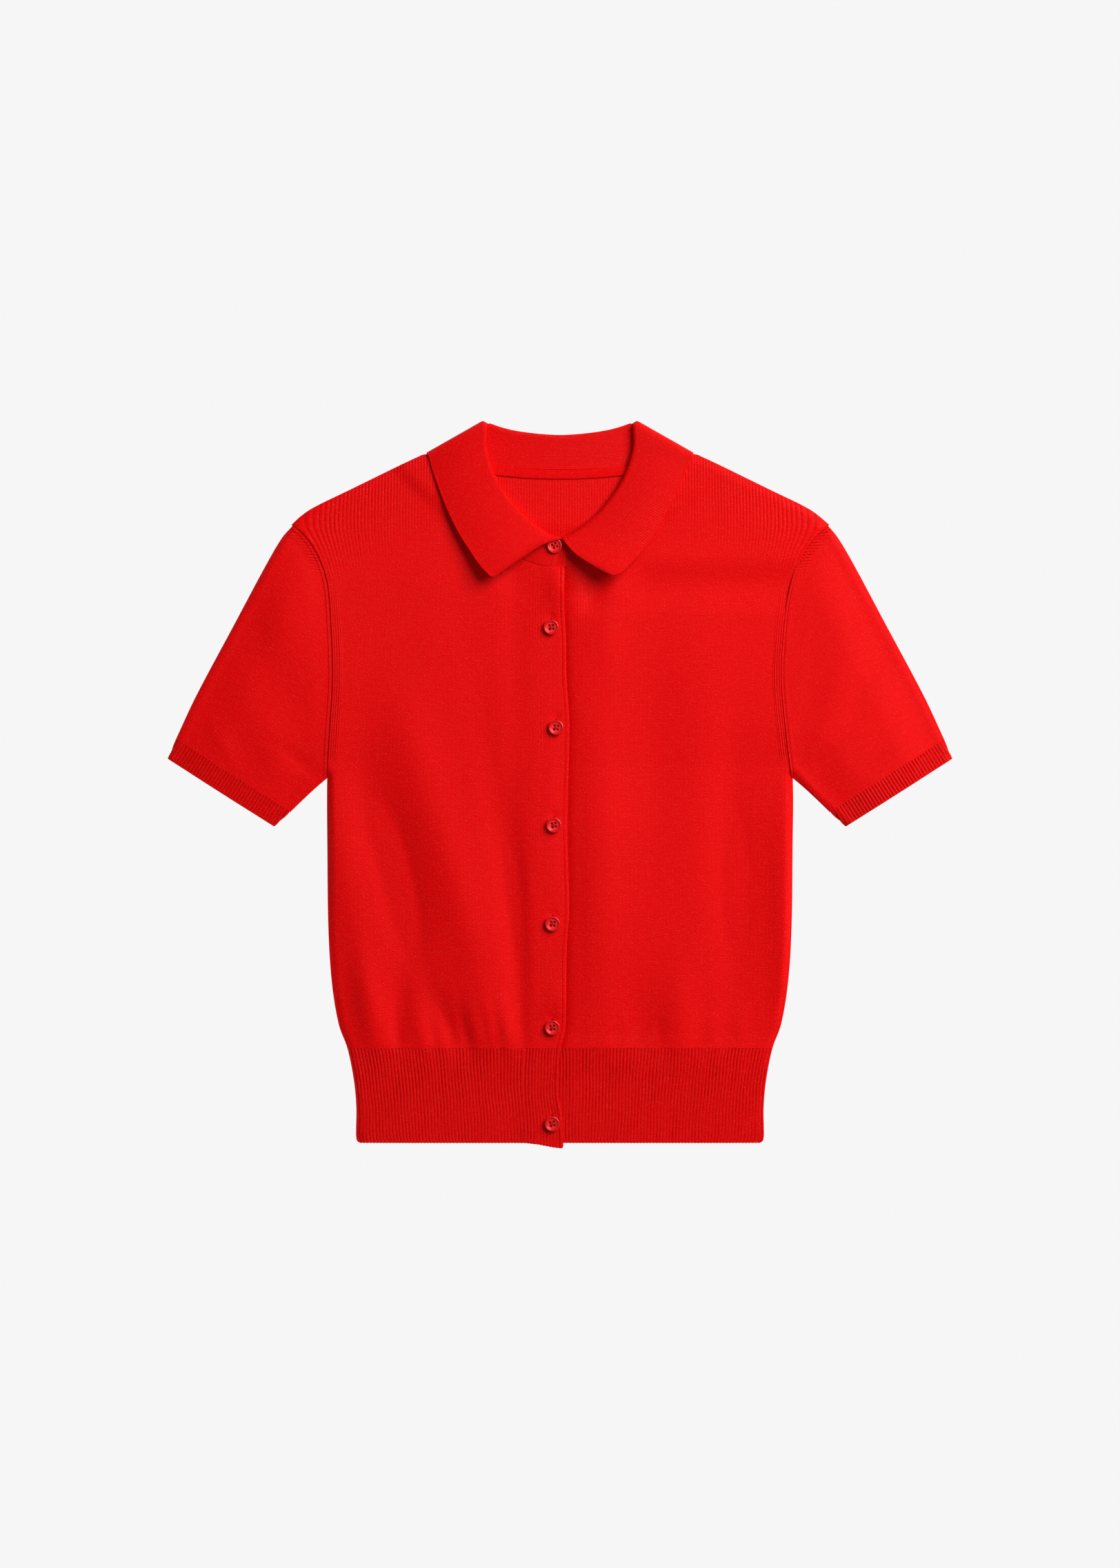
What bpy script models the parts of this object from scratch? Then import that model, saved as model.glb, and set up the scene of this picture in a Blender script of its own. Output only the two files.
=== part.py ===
"""Short sleeve knitted cardigan with a turn-down collar, buttoned up and laid flat.

Lengths are in millimetres in the garment's own layout: x across from the centre front
(+x is the wearer's left), y up from the hem, z up from the surface it lies on.
The finished object is in metres, centred over its outline, with its underside at z = 0.
"""
import math

import bpy
from mathutils import Vector

MM = 0.001

# Cloth
WALL = 1.5            # thickness of the knitted cloth
GAP = 0.3             # between neighbouring pieces
LAYER = WALL + GAP    # height that one more layer of cloth adds
LOFT = 1.2            # air between front and back, away from the folded sides
LOFT_REACH = 16.0     # distance from the outline over which the loft grows
TUBE_LIFT = 0.5       # extra room for the round fold along a sleeve's two edges

# Body
RIB_TOP = 74.0        # top of the hem rib
HEM_TIP = (2.6, -4.1)   # the corner of the overlapping front, a little below the hem
UNDER_EDGE = -16.0    # edge of the left front, hidden under the right one
SHOULDER_Y = 484.0    # shoulder point
NECK_HALF = 80.8      # half width of the neckline
NECK_Y = 549.0        # neck point
NECK_DEPTH = 98.0     # front neck drop
COLLAR_PEAK = (59.4, 565.9)
COLLAR_EDGE = (104.8, 540.3)   # where the fall's outer edge passes over the shoulder
MID_Y = (COLLAR_PEAK[1] + HEM_TIP[1]) / 2
FALL_EDGE = (498.0, 28.0)    # the fall's edge below the back: height at the centre, rise beside
LIFT_START = 26.0     # the cloth starts to rise this far below it
LIFT_LENGTH = 14.0    # and has risen after this much more
STEP_START = 11.0     # the right front starts to climb this far before the left one's edge
STEP_LENGTH = 9.5     # and is up after this much more

# Side of the body. Columns: half width, height
SIDE = ((159.6, 0.0), (159.6, 28.0), (161.7, 50.0), (166.6, RIB_TOP), (173.2, 92.0),
        (178.5, 123.0), (181.4, 165.0), (182.3, 230.0), (182.4, 287.0))
# Armhole seam. Columns: height, distance from the centre on the wearer's right, on the left
ARMHOLE = ((287.0, 182.4, 182.4), (323.0, 180.5, 178.0), (365.0, 178.1, 174.6),
           (416.5, 180.1, 178.0), (441.0, 182.9, 182.9), (461.0, 190.4, 190.6),
           (475.0, 199.8, 201.0), (SHOULDER_Y, 210.4, 211.0))
# Shoulder from the shoulder point to the neck point. Columns: distance from the centre, height
SHOULDER = ((197.4, 495.0), (165.0, 511.3), (132.0, 527.5), (115.0, 535.4), (103.0, 537.0),
            (NECK_HALF, NECK_Y))
# Buttoned edge of the right front, hem to neck. Columns: x, height
PLACKET = (HEM_TIP, (1.9, 19.4), (-1.2, 40.0), (-0.3, 68.6), (4.8, 91.8), (5.6, 150.0),
           (7.3, 182.0), (5.7, 246.8), (8.2, 327.0), (6.0, 360.7), (5.3, 395.0), (3.6, 424.0),
           (3.6, 450.4))
PLACKET_AT_RIB = (0.6, RIB_TOP)

# Sleeve. Columns: distance from the centre, height
SLEEVE_OUTER = ((211.4, 483.2), (219.0, 473.0), (229.2, 454.7), (255.2, 406.1), (285.4, 349.4),
                (301.0, 316.0))
SLEEVE_UNDER = ((183.2, 286.6), (193.0, 276.5), (211.2, 259.0))
CUFF_OUTER = ((301.2, 315.7), (307.5, 300.8))
CUFF_UNDER = ((211.5, 258.7), (223.8, 247.5))

# Where the cloth rises and sinks in broad soft folds.
# Columns: x, y, half length, half width, rise, lean in degrees
FOLDS = ((-172, 205, 110, 9, 0.9, 3), (-160, 116, 40, 9, 1.0, 8), (-136, 160, 84, 15, -1.0, 9),
         (-90, 205, 108, 18, 1.1, 16), (-88, 92, 26, 9, -0.8, 22), (-46, 190, 120, 13, -0.8, 9),
         (-118, 318, 56, 20, 0.7, 14), (-104, 392, 60, 22, 0.6, 0), (34, 205, 100, 12, 0.9, 0),
         (36, 400, 34, 14, 0.8, 0), (94, 96, 40, 13, 1.0, 0), (74, 292, 70, 26, -0.6, 0),
         (145, 205, 104, 18, -1.0, 0), (174, 190, 110, 10, 0.9, 0), (112, 372, 60, 26, 0.6, 0),
         (-226, 380, 60, 16, -0.6, 24), (236, 352, 44, 12, -0.8, -28))
FOLD_CLEAR = 26.0     # no fold closer than this to the centre front
FOLD_FADE = 14.0      # and all of it from this much further out

# Collar stations from the centre front to beside the neck point.
# Columns: neckline angle in degrees, roll line x, y, outer edge x, y,
#          height of the stand's top, of the fall at the roll, of the fall's edge
COLLAR_FRONT_LEFT = ((3, 4.2, 474.2, 37.4, 445.2, 3.8, 8.6, 8.6),
                     (8, 8.5, 476.3, 42.1, 443.3, 3.8, 8.7, 8.4),
                     (14, 14.0, 480.0, 48.5, 446.0, 4.0, 8.7, 8.0),
                     (22, 20.5, 485.0, 54.5, 452.0, 4.2, 8.7, 7.8),
                     (33, 29.5, 493.3, 65.0, 463.6, 4.4, 8.7, 7.5),
                     (46, 39.5, 505.2, 76.5, 480.0, 5.0, 8.8, 7.5),
                     (59, 48.0, 518.0, 86.5, 498.5, 5.6, 8.9, 7.5),
                     (70, 54.0, 532.5, 93.8, 513.5, 5.9, 8.9, 7.6),
                     (79, 57.3, 546.5, 99.0, 526.5, 6.2, 8.9, 7.6))
COLLAR_FRONT_RIGHT = ((3, -0.8, 474.3, 47.0, 445.6, 5.6, 10.8, 9.0),
                      (8, 6.6, 475.8, 53.0, 442.3, 5.6, 10.8, 8.4),
                      (14, 13.0, 480.0, 58.4, 446.4, 5.5, 10.4, 8.0),
                      (22, 20.5, 486.0, 64.0, 453.0, 5.2, 9.8, 7.8),
                      (33, 28.5, 493.3, 71.0, 463.6, 4.8, 9.2, 7.6),
                      (46, 39.0, 505.0, 80.0, 478.0, 5.0, 9.0, 7.5),
                      (59, 48.0, 518.0, 88.5, 495.5, 5.6, 8.9, 7.5),
                      (70, 54.0, 532.5, 94.8, 511.5, 5.9, 8.9, 7.6),
                      (79, 57.3, 546.5, 99.5, 525.0, 6.2, 8.9, 7.6))
# Collar stations from beside the neck point to the centre back.
# Columns: neckline x, y, roll line x, y, outer edge x, y
COLLAR_BACK = ((74.4, 539.6, 54.5, 563.6, 93.0, 520.0),
               (68.5, 532.6, 47.0, 561.0, 80.0, 511.0),
               (51.0, 529.6, 37.0, 558.4, 62.0, 505.5),
               (34.0, 527.8, 25.0, 556.5, 42.0, 503.2),
               (17.0, 527.0, 12.5, 555.2, 21.0, 502.3),
               (0.0, 526.8, 0.0, 554.6, 0.0, 502.0))
CREST_ANGLES = (0, 30, 60, 90, 120, 150, 180)   # the fall turning over the shoulder
CREST_BLEND = (90, 120)  # from this angle, over this many degrees, it turns like the back's
STAND_AT_CREST = 26.5    # height of the stand beside the neck point
ARMHOLE_GAP = 0.4        # measured across, so that the slanting seam keeps 0.3
STAND_SEAM = 0.4         # clearance between the stand and the panels' neckline
FALL_UNDER = WALL / 2    # middle of the fall's wall below the back
STAND_UNDER = LAYER + WALL / 2   # middle of the stand's wall at the back's neckline
STAND_ROLL = 3.35        # and at the roll, which is thicker than two layers
BACK_ROLL_LEAN = 0.35    # how far the roll leans sideways next to its peak
CREST_TURN = 1.5         # radius of the stand's turn over the shoulder
CREST_APART = 2.6        # from the stand to the fall around it

# Neck tape. Columns: x, y of its middle line, for x > 0
TAPE_MIDDLE = ((0.0, 523.2), (20.0, 523.6), (40.0, 525.0), (50.0, 526.2), (58.0, 527.6))
TAPE_WIDTH = 7.0
TAPE_WALL = 1.0
TAPE_ROWS = 17

# Buttons. Columns: x, y of the centre, turn in degrees. The first is on the collar's stand
BUTTONS = ((-4.3, 467.2, 30.0), (-6.9, 403.5, 4.0), (-3.1, 325.0, -6.0), (-4.8, 248.7, 8.0),
           (-5.8, 171.5, -4.0), (-6.0, 90.3, 5.0), (-6.1, 15.1, 12.0))
BUTTON_RADIUS = 6.0
BUTTON_HEIGHT = 2.4
BUTTON_DISH = 1.5        # thickness inside the raised rim
# The button's profile from the dish outwards. Columns: share of its radius, height
BUTTON_PROFILE = ((0, BUTTON_DISH), (0.62, BUTTON_DISH), (0.74, BUTTON_HEIGHT - 0.15),
                  (0.87, BUTTON_HEIGHT), (1, BUTTON_HEIGHT * 0.72), (0.97, BUTTON_HEIGHT * 0.3),
                  (0.8, 0), (0, 0))
BUTTON_STEPS = 18
SHANK_HEIGHT = 1.0       # the thread lifts the button this far off the cloth
SHANK_RADIUS = 1.0
HOLE_RADIUS = 0.8
HOLE_SPACING = 2.6       # between neighbouring holes
HOLE_STEPS = 8
DRILL_PAST = 1.0         # the holes' cutters reach past both faces
THREAD_RADIUS = 0.45
LEG_STEPS = 6
SHANK_STEPS = 12
THREAD_OVERLAP = 0.15    # the thread's pieces run this far into each other
THREAD_DISC = 0.4        # thickness of the wound thread under the button
DISC_SPREAD = 1.3        # it spreads this much wider than the outermost leg
BAR_WIDTH = 1.1          # a stitch's width and height, in threads
BAR_HEIGHT = 0.6
STITCH_RISE = 0.4        # the thread's middle above the dished face
SLIT_HALF_LENGTH = 7.0
SLIT_HALF_WIDTH = 1.4
SLIT_STEPS = 12
NECK_SLIT_DROP = 3.8     # the top buttonhole runs down from its button, clear of the roll
NECK_SLIT_SHORTER = 1.0  # and it is this much shorter to either end


def vec(*values):
    return Vector([float(value) for value in values])


def smooth(value):
    value = min(1.0, max(0.0, value))
    return value * value * (3 - 2 * value)


class Path:
    """A smooth curve through a short list of points, read by a fraction 0..1 of its length."""

    def __init__(self, points):
        self.points = [vec(*point) for point in points]
        run = [0.0]
        for start, end in zip(self.points, self.points[1:]):
            run.append(run[-1] + (end - start).length)
        self.stops = [length / run[-1] for length in run]

    def slope(self, index):
        low, high = max(0, index - 1), min(len(self.points) - 1, index + 1)
        return (self.points[high] - self.points[low]) / (self.stops[high] - self.stops[low])

    def __call__(self, fraction):
        index = 0
        while index < len(self.stops) - 2 and fraction > self.stops[index + 1]:
            index += 1
        step = self.stops[index + 1] - self.stops[index]
        t = (fraction - self.stops[index]) / step
        start, end = self.points[index], self.points[index + 1]
        pull_in, pull_out = self.slope(index) * step, self.slope(index + 1) * step
        return (start * (2 * t**3 - 3 * t**2 + 1) + pull_in * (t**3 - 2 * t**2 + t)
                + end * (3 * t**2 - 2 * t**3) + pull_out * (t**3 - t**2))

def side_table(side, rows):
    """The rows of a table of (distance, height), placed on the wearer's left (+1) or right (-1)."""
    return [vec(side * row[0], row[1]) for row in rows]


def armhole(side):
    column = 2 if side > 0 else 1
    return [vec(side * row[column], row[0]) for row in ARMHOLE]


def neck_point(degrees, side=1, scale=1.0):
    angle = math.radians(degrees)
    return vec(side * NECK_HALF * scale * math.sin(angle),
               NECK_Y - NECK_DEPTH * scale * math.cos(angle))


def shoulder_point(distance, side):
    """The shoulder's edge at a distance from the centre, straight between the table's rows."""
    rows = [(ARMHOLE[-1][2 if side > 0 else 1], SHOULDER_Y)] + list(SHOULDER)
    for (outer, low), (inner, high) in zip(rows, rows[1:]):
        if inner <= distance <= outer:
            share = (outer - distance) / (outer - inner)
            return vec(side * distance, low + (high - low) * share)
    return vec(side * NECK_HALF, NECK_Y)


# ------------------------------------------------------------------ heights of the cloth

def outline():
    """The folded edges of one half of the garment, hem to collar."""
    rows = list(SIDE) + list(SLEEVE_UNDER) + [CUFF_UNDER[1], CUFF_OUTER[1]]
    rows += list(reversed(SLEEVE_OUTER)) + list(SHOULDER)[:4] + [COLLAR_EDGE, COLLAR_PEAK]
    return [vec(*row) for row in rows]


FOLDED_EDGE = outline()
CUFF_LINE = (vec(*CUFF_UNDER[1]), vec(*CUFF_OUTER[1]))


def edge_distance(x, y):
    """Distance to the nearest folded edge; the open hem and cuff edges do not count."""
    point = vec(abs(x), y)
    nearest = 1e9
    for start, end in zip(FOLDED_EDGE, FOLDED_EDGE[1:]):
        if (start - CUFF_LINE[0]).length < 1e-6 and (end - CUFF_LINE[1]).length < 1e-6:
            continue
        along = end - start
        share = min(1.0, max(0.0, (point - start).dot(along) / along.length_squared))
        nearest = min(nearest, (start + along * share - point).length)
    return nearest


def back_lift(x, y):
    """The panels rise by one layer over the part of the collar that lies under the back."""
    fall_edge = FALL_EDGE[0] + FALL_EDGE[1] * abs(x / COLLAR_EDGE[0]) ** 3
    return LAYER * smooth((y - fall_edge + LIFT_START) / LIFT_LENGTH)


def folds(x, y):
    """Broad relief, faded out beside the buttoned edge so that the buttons stay level."""
    rise = 0.0
    for across, up, length, width, height, lean in FOLDS:
        turn = math.radians(lean)
        right, above = x - across, y - up
        along = above * math.cos(turn) - right * math.sin(turn)
        aside = right * math.cos(turn) + above * math.sin(turn)
        rise += height * math.exp(-(along / length) ** 2 - (aside / width) ** 2)
    return rise * smooth((abs(x) - FOLD_CLEAR) / FOLD_FADE)


def top_layer(x, y):
    """Underside of the cloth that lies on the back."""
    share = smooth(edge_distance(x, y) / LOFT_REACH)
    return back_lift(x, y) + LAYER + max(0.0, (LOFT + folds(x, y)) * share)


def over_step(x):
    """The right front climbs over the left one beside the buttons."""
    return LAYER * smooth((x - (UNDER_EDGE - STEP_START)) / STEP_LENGTH)


def height_back(x, y):
    return back_lift(x, y) + WALL / 2


def height_left(x, y):
    return top_layer(x, y) + WALL / 2


def height_right(x, y):
    return top_layer(x, y) + over_step(x) + WALL / 2


BUTTON_CLOTH = 2 * LAYER + LOFT + WALL      # top of the right front beside the buttons
UNDER_CLOTH = LAYER + LOFT + WALL           # top of the left front under it


# ------------------------------------------------------------------ building

def row_frame(point):
    return Vector((point[0] * MM, (point[1] - MID_Y) * MM, point[2] * MM))


def new_material(name, colour, roughness):
    material = bpy.data.materials.new(name)
    material.use_nodes = True
    shader = material.node_tree.nodes["Principled BSDF"]
    shader.inputs["Base Color"].default_value = (*colour, 1.0)
    shader.inputs["Roughness"].default_value = roughness
    shader.inputs["Metallic"].default_value = 0.0
    return material


def add_object(name, mesh, material, collection):
    obj = bpy.data.objects.new(name, mesh)
    if not mesh.materials:
        mesh.materials.append(material)
    collection.objects.link(obj)
    return obj


def sheet(name, points, faces, material, collection, wall=WALL):
    """Cloth: an open surface through its middle, given its wall by Solidify."""
    mesh = bpy.data.meshes.new(name)
    mesh.from_pydata([row_frame(point) for point in points], [], faces)
    mesh.shade_smooth()
    obj = add_object(name, mesh, material, collection)
    solid = obj.modifiers.new("Cloth wall", "SOLIDIFY")
    solid.thickness = wall * MM
    solid.offset = 0.0
    solid.use_even_offset = True
    return obj


def grid_faces(rows, columns, closed=False):
    faces = []
    for row in range(rows - 1):
        for column in range(columns if closed else columns - 1):
            after = (column + 1) % columns
            faces.append((row * columns + column, row * columns + after,
                          (row + 1) * columns + after, (row + 1) * columns + column))
    return faces


def patch(bottom, top, left, right, rows):
    """Points of a grid whose columns run from bottom[i] to top[i] between two edge paths.

    Each edge's bend fades out quickly away from it. `rows` holds fractions.
    """
    span = (bottom[-1] - bottom[0]).length
    shares = [(point - bottom[0]).length / span for point in bottom]
    grid = []
    for v in rows:
        left_bend = left(v) - bottom[0].lerp(top[0], v)
        right_bend = right(v) - bottom[-1].lerp(top[-1], v)
        for low, high, u in zip(bottom, top, shares):
            grid.append(low.lerp(high, v) + left_bend * (1 - u)**4 + right_bend * u**4)
    return grid


def raised(points, height):
    return [(point[0], point[1], height(point[0], point[1])) for point in points]


def panel_side(side):
    """Side seam and armhole of a panel, from the hem rib to the shoulder point."""
    above_rib = [row for row in SIDE if row[1] >= RIB_TOP]
    return Path(side_table(side, above_rib) + armhole(side)[1:])


UNDER_TOP = 453.0     # height of the left front's hidden edge at the neckline
NEAR_RIGHT = (-6.0, -17.0)   # columns beside the buttoned edge of the right front
NEAR_LEFT = (-6.0, 10.0)     # and beside the hidden edge of the left one
# Where a front's other columns start on the hem rib: distances from the centre
FRONT_BOTTOM = (21.0, 28.0, 42.0, 56.0, 68.0, 78.0, 86.0, 96.0, 108.0, 120.0, 138.0, 153.0)
SHOULDER_STOPS = (103.0, 115.0, 150.0, 185.0)
# Where the columns end at the neckline, in degrees as the collar's; the last is the neck point
NECK_STOPS = [row[0] for row in COLLAR_FRONT_LEFT[2:]] + [90.0]


def front(name, side, material, collection):
    edge = panel_side(side)
    if side < 0:
        placket = Path([PLACKET_AT_RIB] + [row for row in PLACKET if row[1] > RIB_TOP])
        near = NEAR_RIGHT
        height = height_right
    else:
        placket = Path([(UNDER_EDGE, RIB_TOP), (UNDER_EDGE, UNDER_TOP)])
        near = NEAR_LEFT
        height = height_left
    start = placket(0)
    bottom = [vec(start[0], RIB_TOP)] + [vec(x, RIB_TOP) for x in near]
    bottom += [vec(side * x, RIB_TOP) for x in FRONT_BOTTOM] + [edge(0)]
    angles = [math.degrees(math.asin(abs(x) / NECK_HALF)) for x in near]
    top = [placket(1)] + [neck_point(angle, math.copysign(1, x)) for angle, x in zip(angles, near)]
    top += [neck_point(angle, side) for angle in NECK_STOPS]
    top += [shoulder_point(x, side) for x in SHOULDER_STOPS] + [edge(1)]
    points = patch(bottom, top, placket, edge, edge.stops)
    faces = grid_faces(len(edge.stops), len(bottom))
    if side < 0:
        faces = [tuple(reversed(face)) for face in faces]
    return sheet(name, raised(points, height), faces, material, collection)


BACK_BOTTOM = (27.0, 54.0, 75.0, 92.0, 106.0, 120.0, 138.0, 153.0)
BACK_NECK = ((0.0, 526.2), (25.0, 526.0), (51.0, 528.0), (69.0, 530.2))


def back(material, collection):
    right, left = panel_side(-1), panel_side(1)
    half_bottom = [vec(x, RIB_TOP) for x in BACK_BOTTOM] + [left(0)]
    half_top = [vec(*row) for row in BACK_NECK[1:]] + [vec(NECK_HALF, NECK_Y)]
    half_top += [shoulder_point(x, 1) for x in SHOULDER_STOPS] + [left(1)]
    mirrored_top = [vec(-point[0], point[1]) for point in half_top[:-1]] + [right(1)]
    mirrored_bottom = [vec(-point[0], point[1]) for point in half_bottom]
    bottom = list(reversed(mirrored_bottom)) + [vec(0, RIB_TOP)] + half_bottom
    top = list(reversed(mirrored_top)) + [vec(*BACK_NECK[0])] + half_top
    points = patch(bottom, top, right, left, left.stops)
    faces = grid_faces(len(left.stops), len(bottom))
    return sheet("back", raised(points, height_back), faces, material, collection)


RIB_ROWS = (0.0, 0.25, 0.5, 0.75, 1.0)
RIB_STOPS = (30.0, 60.0, 90.0, 120.0, 143.0)   # columns of the hem rib, from the centre
RIB_SIDE = 166.5      # half width of the hem rib at its top
UNDER_STOP = 5.0      # one more column beside the hidden edge
CORNER_STOPS = (-27.0, -17.0, -6.0)    # and beside the overlapping corner, which hangs lower


def hem_rib(name, low, high, left, right, height, material, collection):
    points = patch(low, high, left, right, RIB_ROWS)
    faces = grid_faces(len(RIB_ROWS), len(low))
    return sheet(name, raised(points, height), faces, material, collection)


def hem_ribs(material, collection):
    rib_top = RIB_TOP - GAP
    below_rib = [row for row in SIDE if row[1] < RIB_TOP] + [(RIB_SIDE, rib_top)]
    left_side, right_side = Path(side_table(1, below_rib)), Path(side_table(-1, below_rib))
    shrink = SIDE[0][0] / below_rib[-1][0]

    def line(xs, y, scale):
        return [vec(x * scale, y) for x in xs]

    right_stops = [-x for x in reversed(RIB_STOPS)]
    whole = right_stops + [0.0] + list(RIB_STOPS)
    hem_rib("hem_rib_back", [right_side(0)] + line(whole, 0.0, shrink) + [left_side(0)],
            [right_side(1)] + line(whole, rib_top, 1.0) + [left_side(1)],
            right_side, left_side, height_back, material, collection)
    under = Path([(UNDER_EDGE, 0.0), (UNDER_EDGE, rib_top)])
    xs = (UNDER_STOP,) + RIB_STOPS
    hem_rib("hem_rib_front_left", [under(0)] + line(xs, 0.0, shrink) + [left_side(0)],
            [under(1)] + line(xs, rib_top, 1.0) + [left_side(1)],
            under, left_side, height_left, material, collection)
    placket = Path([row for row in PLACKET if row[1] < RIB_TOP] + [(PLACKET_AT_RIB[0], rib_top)])
    corner = CORNER_STOPS[0]
    xs = right_stops + list(CORNER_STOPS)
    low = [vec(x * shrink if x < corner else x,
               HEM_TIP[1] * smooth((x - corner) / (HEM_TIP[0] - corner))) for x in xs]
    hem_rib("hem_rib_front_right", [right_side(0)] + low + [placket(0)],
            [right_side(1)] + line(xs, rib_top, 1.0) + [placket(1)],
            right_side, placket, height_right, material, collection)


# ------------------------------------------------------------------ sleeves

TUBE_TOP = LAYER + TUBE_LIFT + WALL / 2
TUBE_RADIUS = (TUBE_TOP - WALL / 2) / 2
ARC_TURNS = (30, 60, 90, 120, 150)
SLEEVE_RINGS = (0, 0.06, 0.14, 0.24, 0.36, 0.5, 0.66, 0.83, 1)
CUFF_RINGS = (0, 0.5, 1)
CUFF_STOPS = (0.0, 0.15, 0.32, 0.5, 0.68, 0.85, 1.0)    # across a cuff; a sleeve has its seam's


def tube_ring(across):
    """One ring of a flattened tube, through the flat points from its under to its outer edge."""
    middle = inset = WALL / 2 + TUBE_RADIUS
    first = (across[1] - across[0]).normalized()
    last = (across[-1] - across[-2]).normalized()
    start, end = across[0] + first * inset, across[-1] - last * inset
    flat = [start] + list(across[1:-1]) + [end]
    ring = [(point[0], point[1], WALL / 2) for point in flat]
    for turn in ARC_TURNS:
        angle = math.radians(turn)
        point = end + last * (TUBE_RADIUS * math.sin(angle))
        ring.append((point[0], point[1], middle - TUBE_RADIUS * math.cos(angle)))
    for point in reversed(flat):
        level = top_layer(point[0], point[1]) + WALL / 2
        ring.append((point[0], point[1], max(level, TUBE_TOP)))
    for turn in ARC_TURNS:
        angle = math.radians(turn)
        point = start - first * (TUBE_RADIUS * math.sin(angle))
        ring.append((point[0], point[1], middle + TUBE_RADIUS * math.cos(angle)))
    return ring


def tube(name, near, far, under, outer, lengthwise, side, material, collection):
    """A flat tube between the seam path `near` and the line `far`."""
    stops = near.stops if len(near.stops) > 2 else CUFF_STOPS
    rings = []
    for u in lengthwise:
        across = []
        for v in stops:
            across.append(near(v) * (1 - u) + far(v) * u + under(u) * (1 - v) + outer(u) * v
                          - (near(0) * (1 - v) + near(1) * v) * (1 - u)
                          - (far(0) * (1 - v) + far(1) * v) * u)
        rings.append(tube_ring(across))
    points = [point for ring in rings for point in ring]
    faces = grid_faces(len(rings), len(rings[0]), closed=True)
    if side < 0:
        faces = [tuple(reversed(face)) for face in faces]
    return sheet(name, points, faces, material, collection)


def sleeve(name, side, material, collection):
    seam = [point + vec(side * ARMHOLE_GAP, 0) for point in armhole(side)]
    seam[0] = vec(side * SLEEVE_UNDER[0][0], SLEEVE_UNDER[0][1])
    seam[-1] = vec(side * SLEEVE_OUTER[0][0], SLEEVE_OUTER[0][1])
    under, outer = Path(side_table(side, SLEEVE_UNDER)), Path(side_table(side, SLEEVE_OUTER))
    far = Path([under(1), outer(1)])
    return tube(name, Path(seam), far, under, outer, SLEEVE_RINGS, side, material, collection)


def cuff(name, side, material, collection):
    under, outer = Path(side_table(side, CUFF_UNDER)), Path(side_table(side, CUFF_OUTER))
    return tube(name, Path([under(0), outer(0)]), Path([under(1), outer(1)]), under, outer,
                CUFF_RINGS, side, material, collection)


# ------------------------------------------------------------------ collar

STAND_COLUMNS = 4
FALL_COLUMNS = 5
ROLL_TURNS = (45, 90, 135)


def collar_section(neck, stand_top, fall_top, edge, bulge):
    """Points from the neckline up the stand, round the roll and down the fall to its edge."""
    section = [neck.lerp(stand_top, k / (STAND_COLUMNS - 1)) for k in range(STAND_COLUMNS)]
    centre, half = (stand_top + fall_top) / 2, (fall_top - stand_top) / 2
    for turn in ROLL_TURNS:
        angle = math.radians(turn)
        section.append(centre - half * math.cos(angle) + bulge * (half.length * math.sin(angle)))
    section += [fall_top.lerp(edge, k / (FALL_COLUMNS - 1)) for k in range(FALL_COLUMNS)]
    return section


def flat_corners(neck, roll, edge, levels, bulge=None):
    """Corners of a section whose stand and fall lie flat, one above the other."""
    z_neck, z_stand, z_fall, z_edge = levels
    bulge = bulge or ((roll - neck).normalized() + (roll - edge).normalized()).normalized()
    inner = roll - bulge * (WALL / 2 + abs(z_fall - z_stand) / 2)
    return [vec(*neck, z_neck), vec(*inner, z_stand), vec(*inner, z_fall), vec(*edge, z_edge),
            vec(*bulge, 0)]


def crest_corners(degrees, side):
    """Corners beside the neck, where the collar turns from above the front to below the back."""
    angle = math.radians(degrees)
    peak, end = vec(*COLLAR_PEAK), vec(*COLLAR_EDGE)
    along = (end - peak).normalized()
    outward = vec(-along[1], along[0])
    roll_middle, neck_middle = STAND_ROLL + CREST_TURN, STAND_UNDER + CREST_TURN
    roll, inner = WALL / 2 + CREST_APART / 2, WALL / 2 + CREST_APART

    def point(run, inset, radius, middle):
        flat = peak + along * run - outward * (inset + radius * (1 - math.sin(angle)))
        return vec(side * flat[0], flat[1], middle + radius * math.cos(angle))

    return [point(STAND_AT_CREST, inner, CREST_TURN, neck_middle),
            point(roll, inner, CREST_TURN, roll_middle),
            point(roll, WALL / 2, CREST_TURN + CREST_APART, roll_middle),
            point((end - peak).length, WALL / 2, neck_middle - FALL_UNDER, neck_middle),
            vec(-side * along[0], -along[1], 0)]


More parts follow.
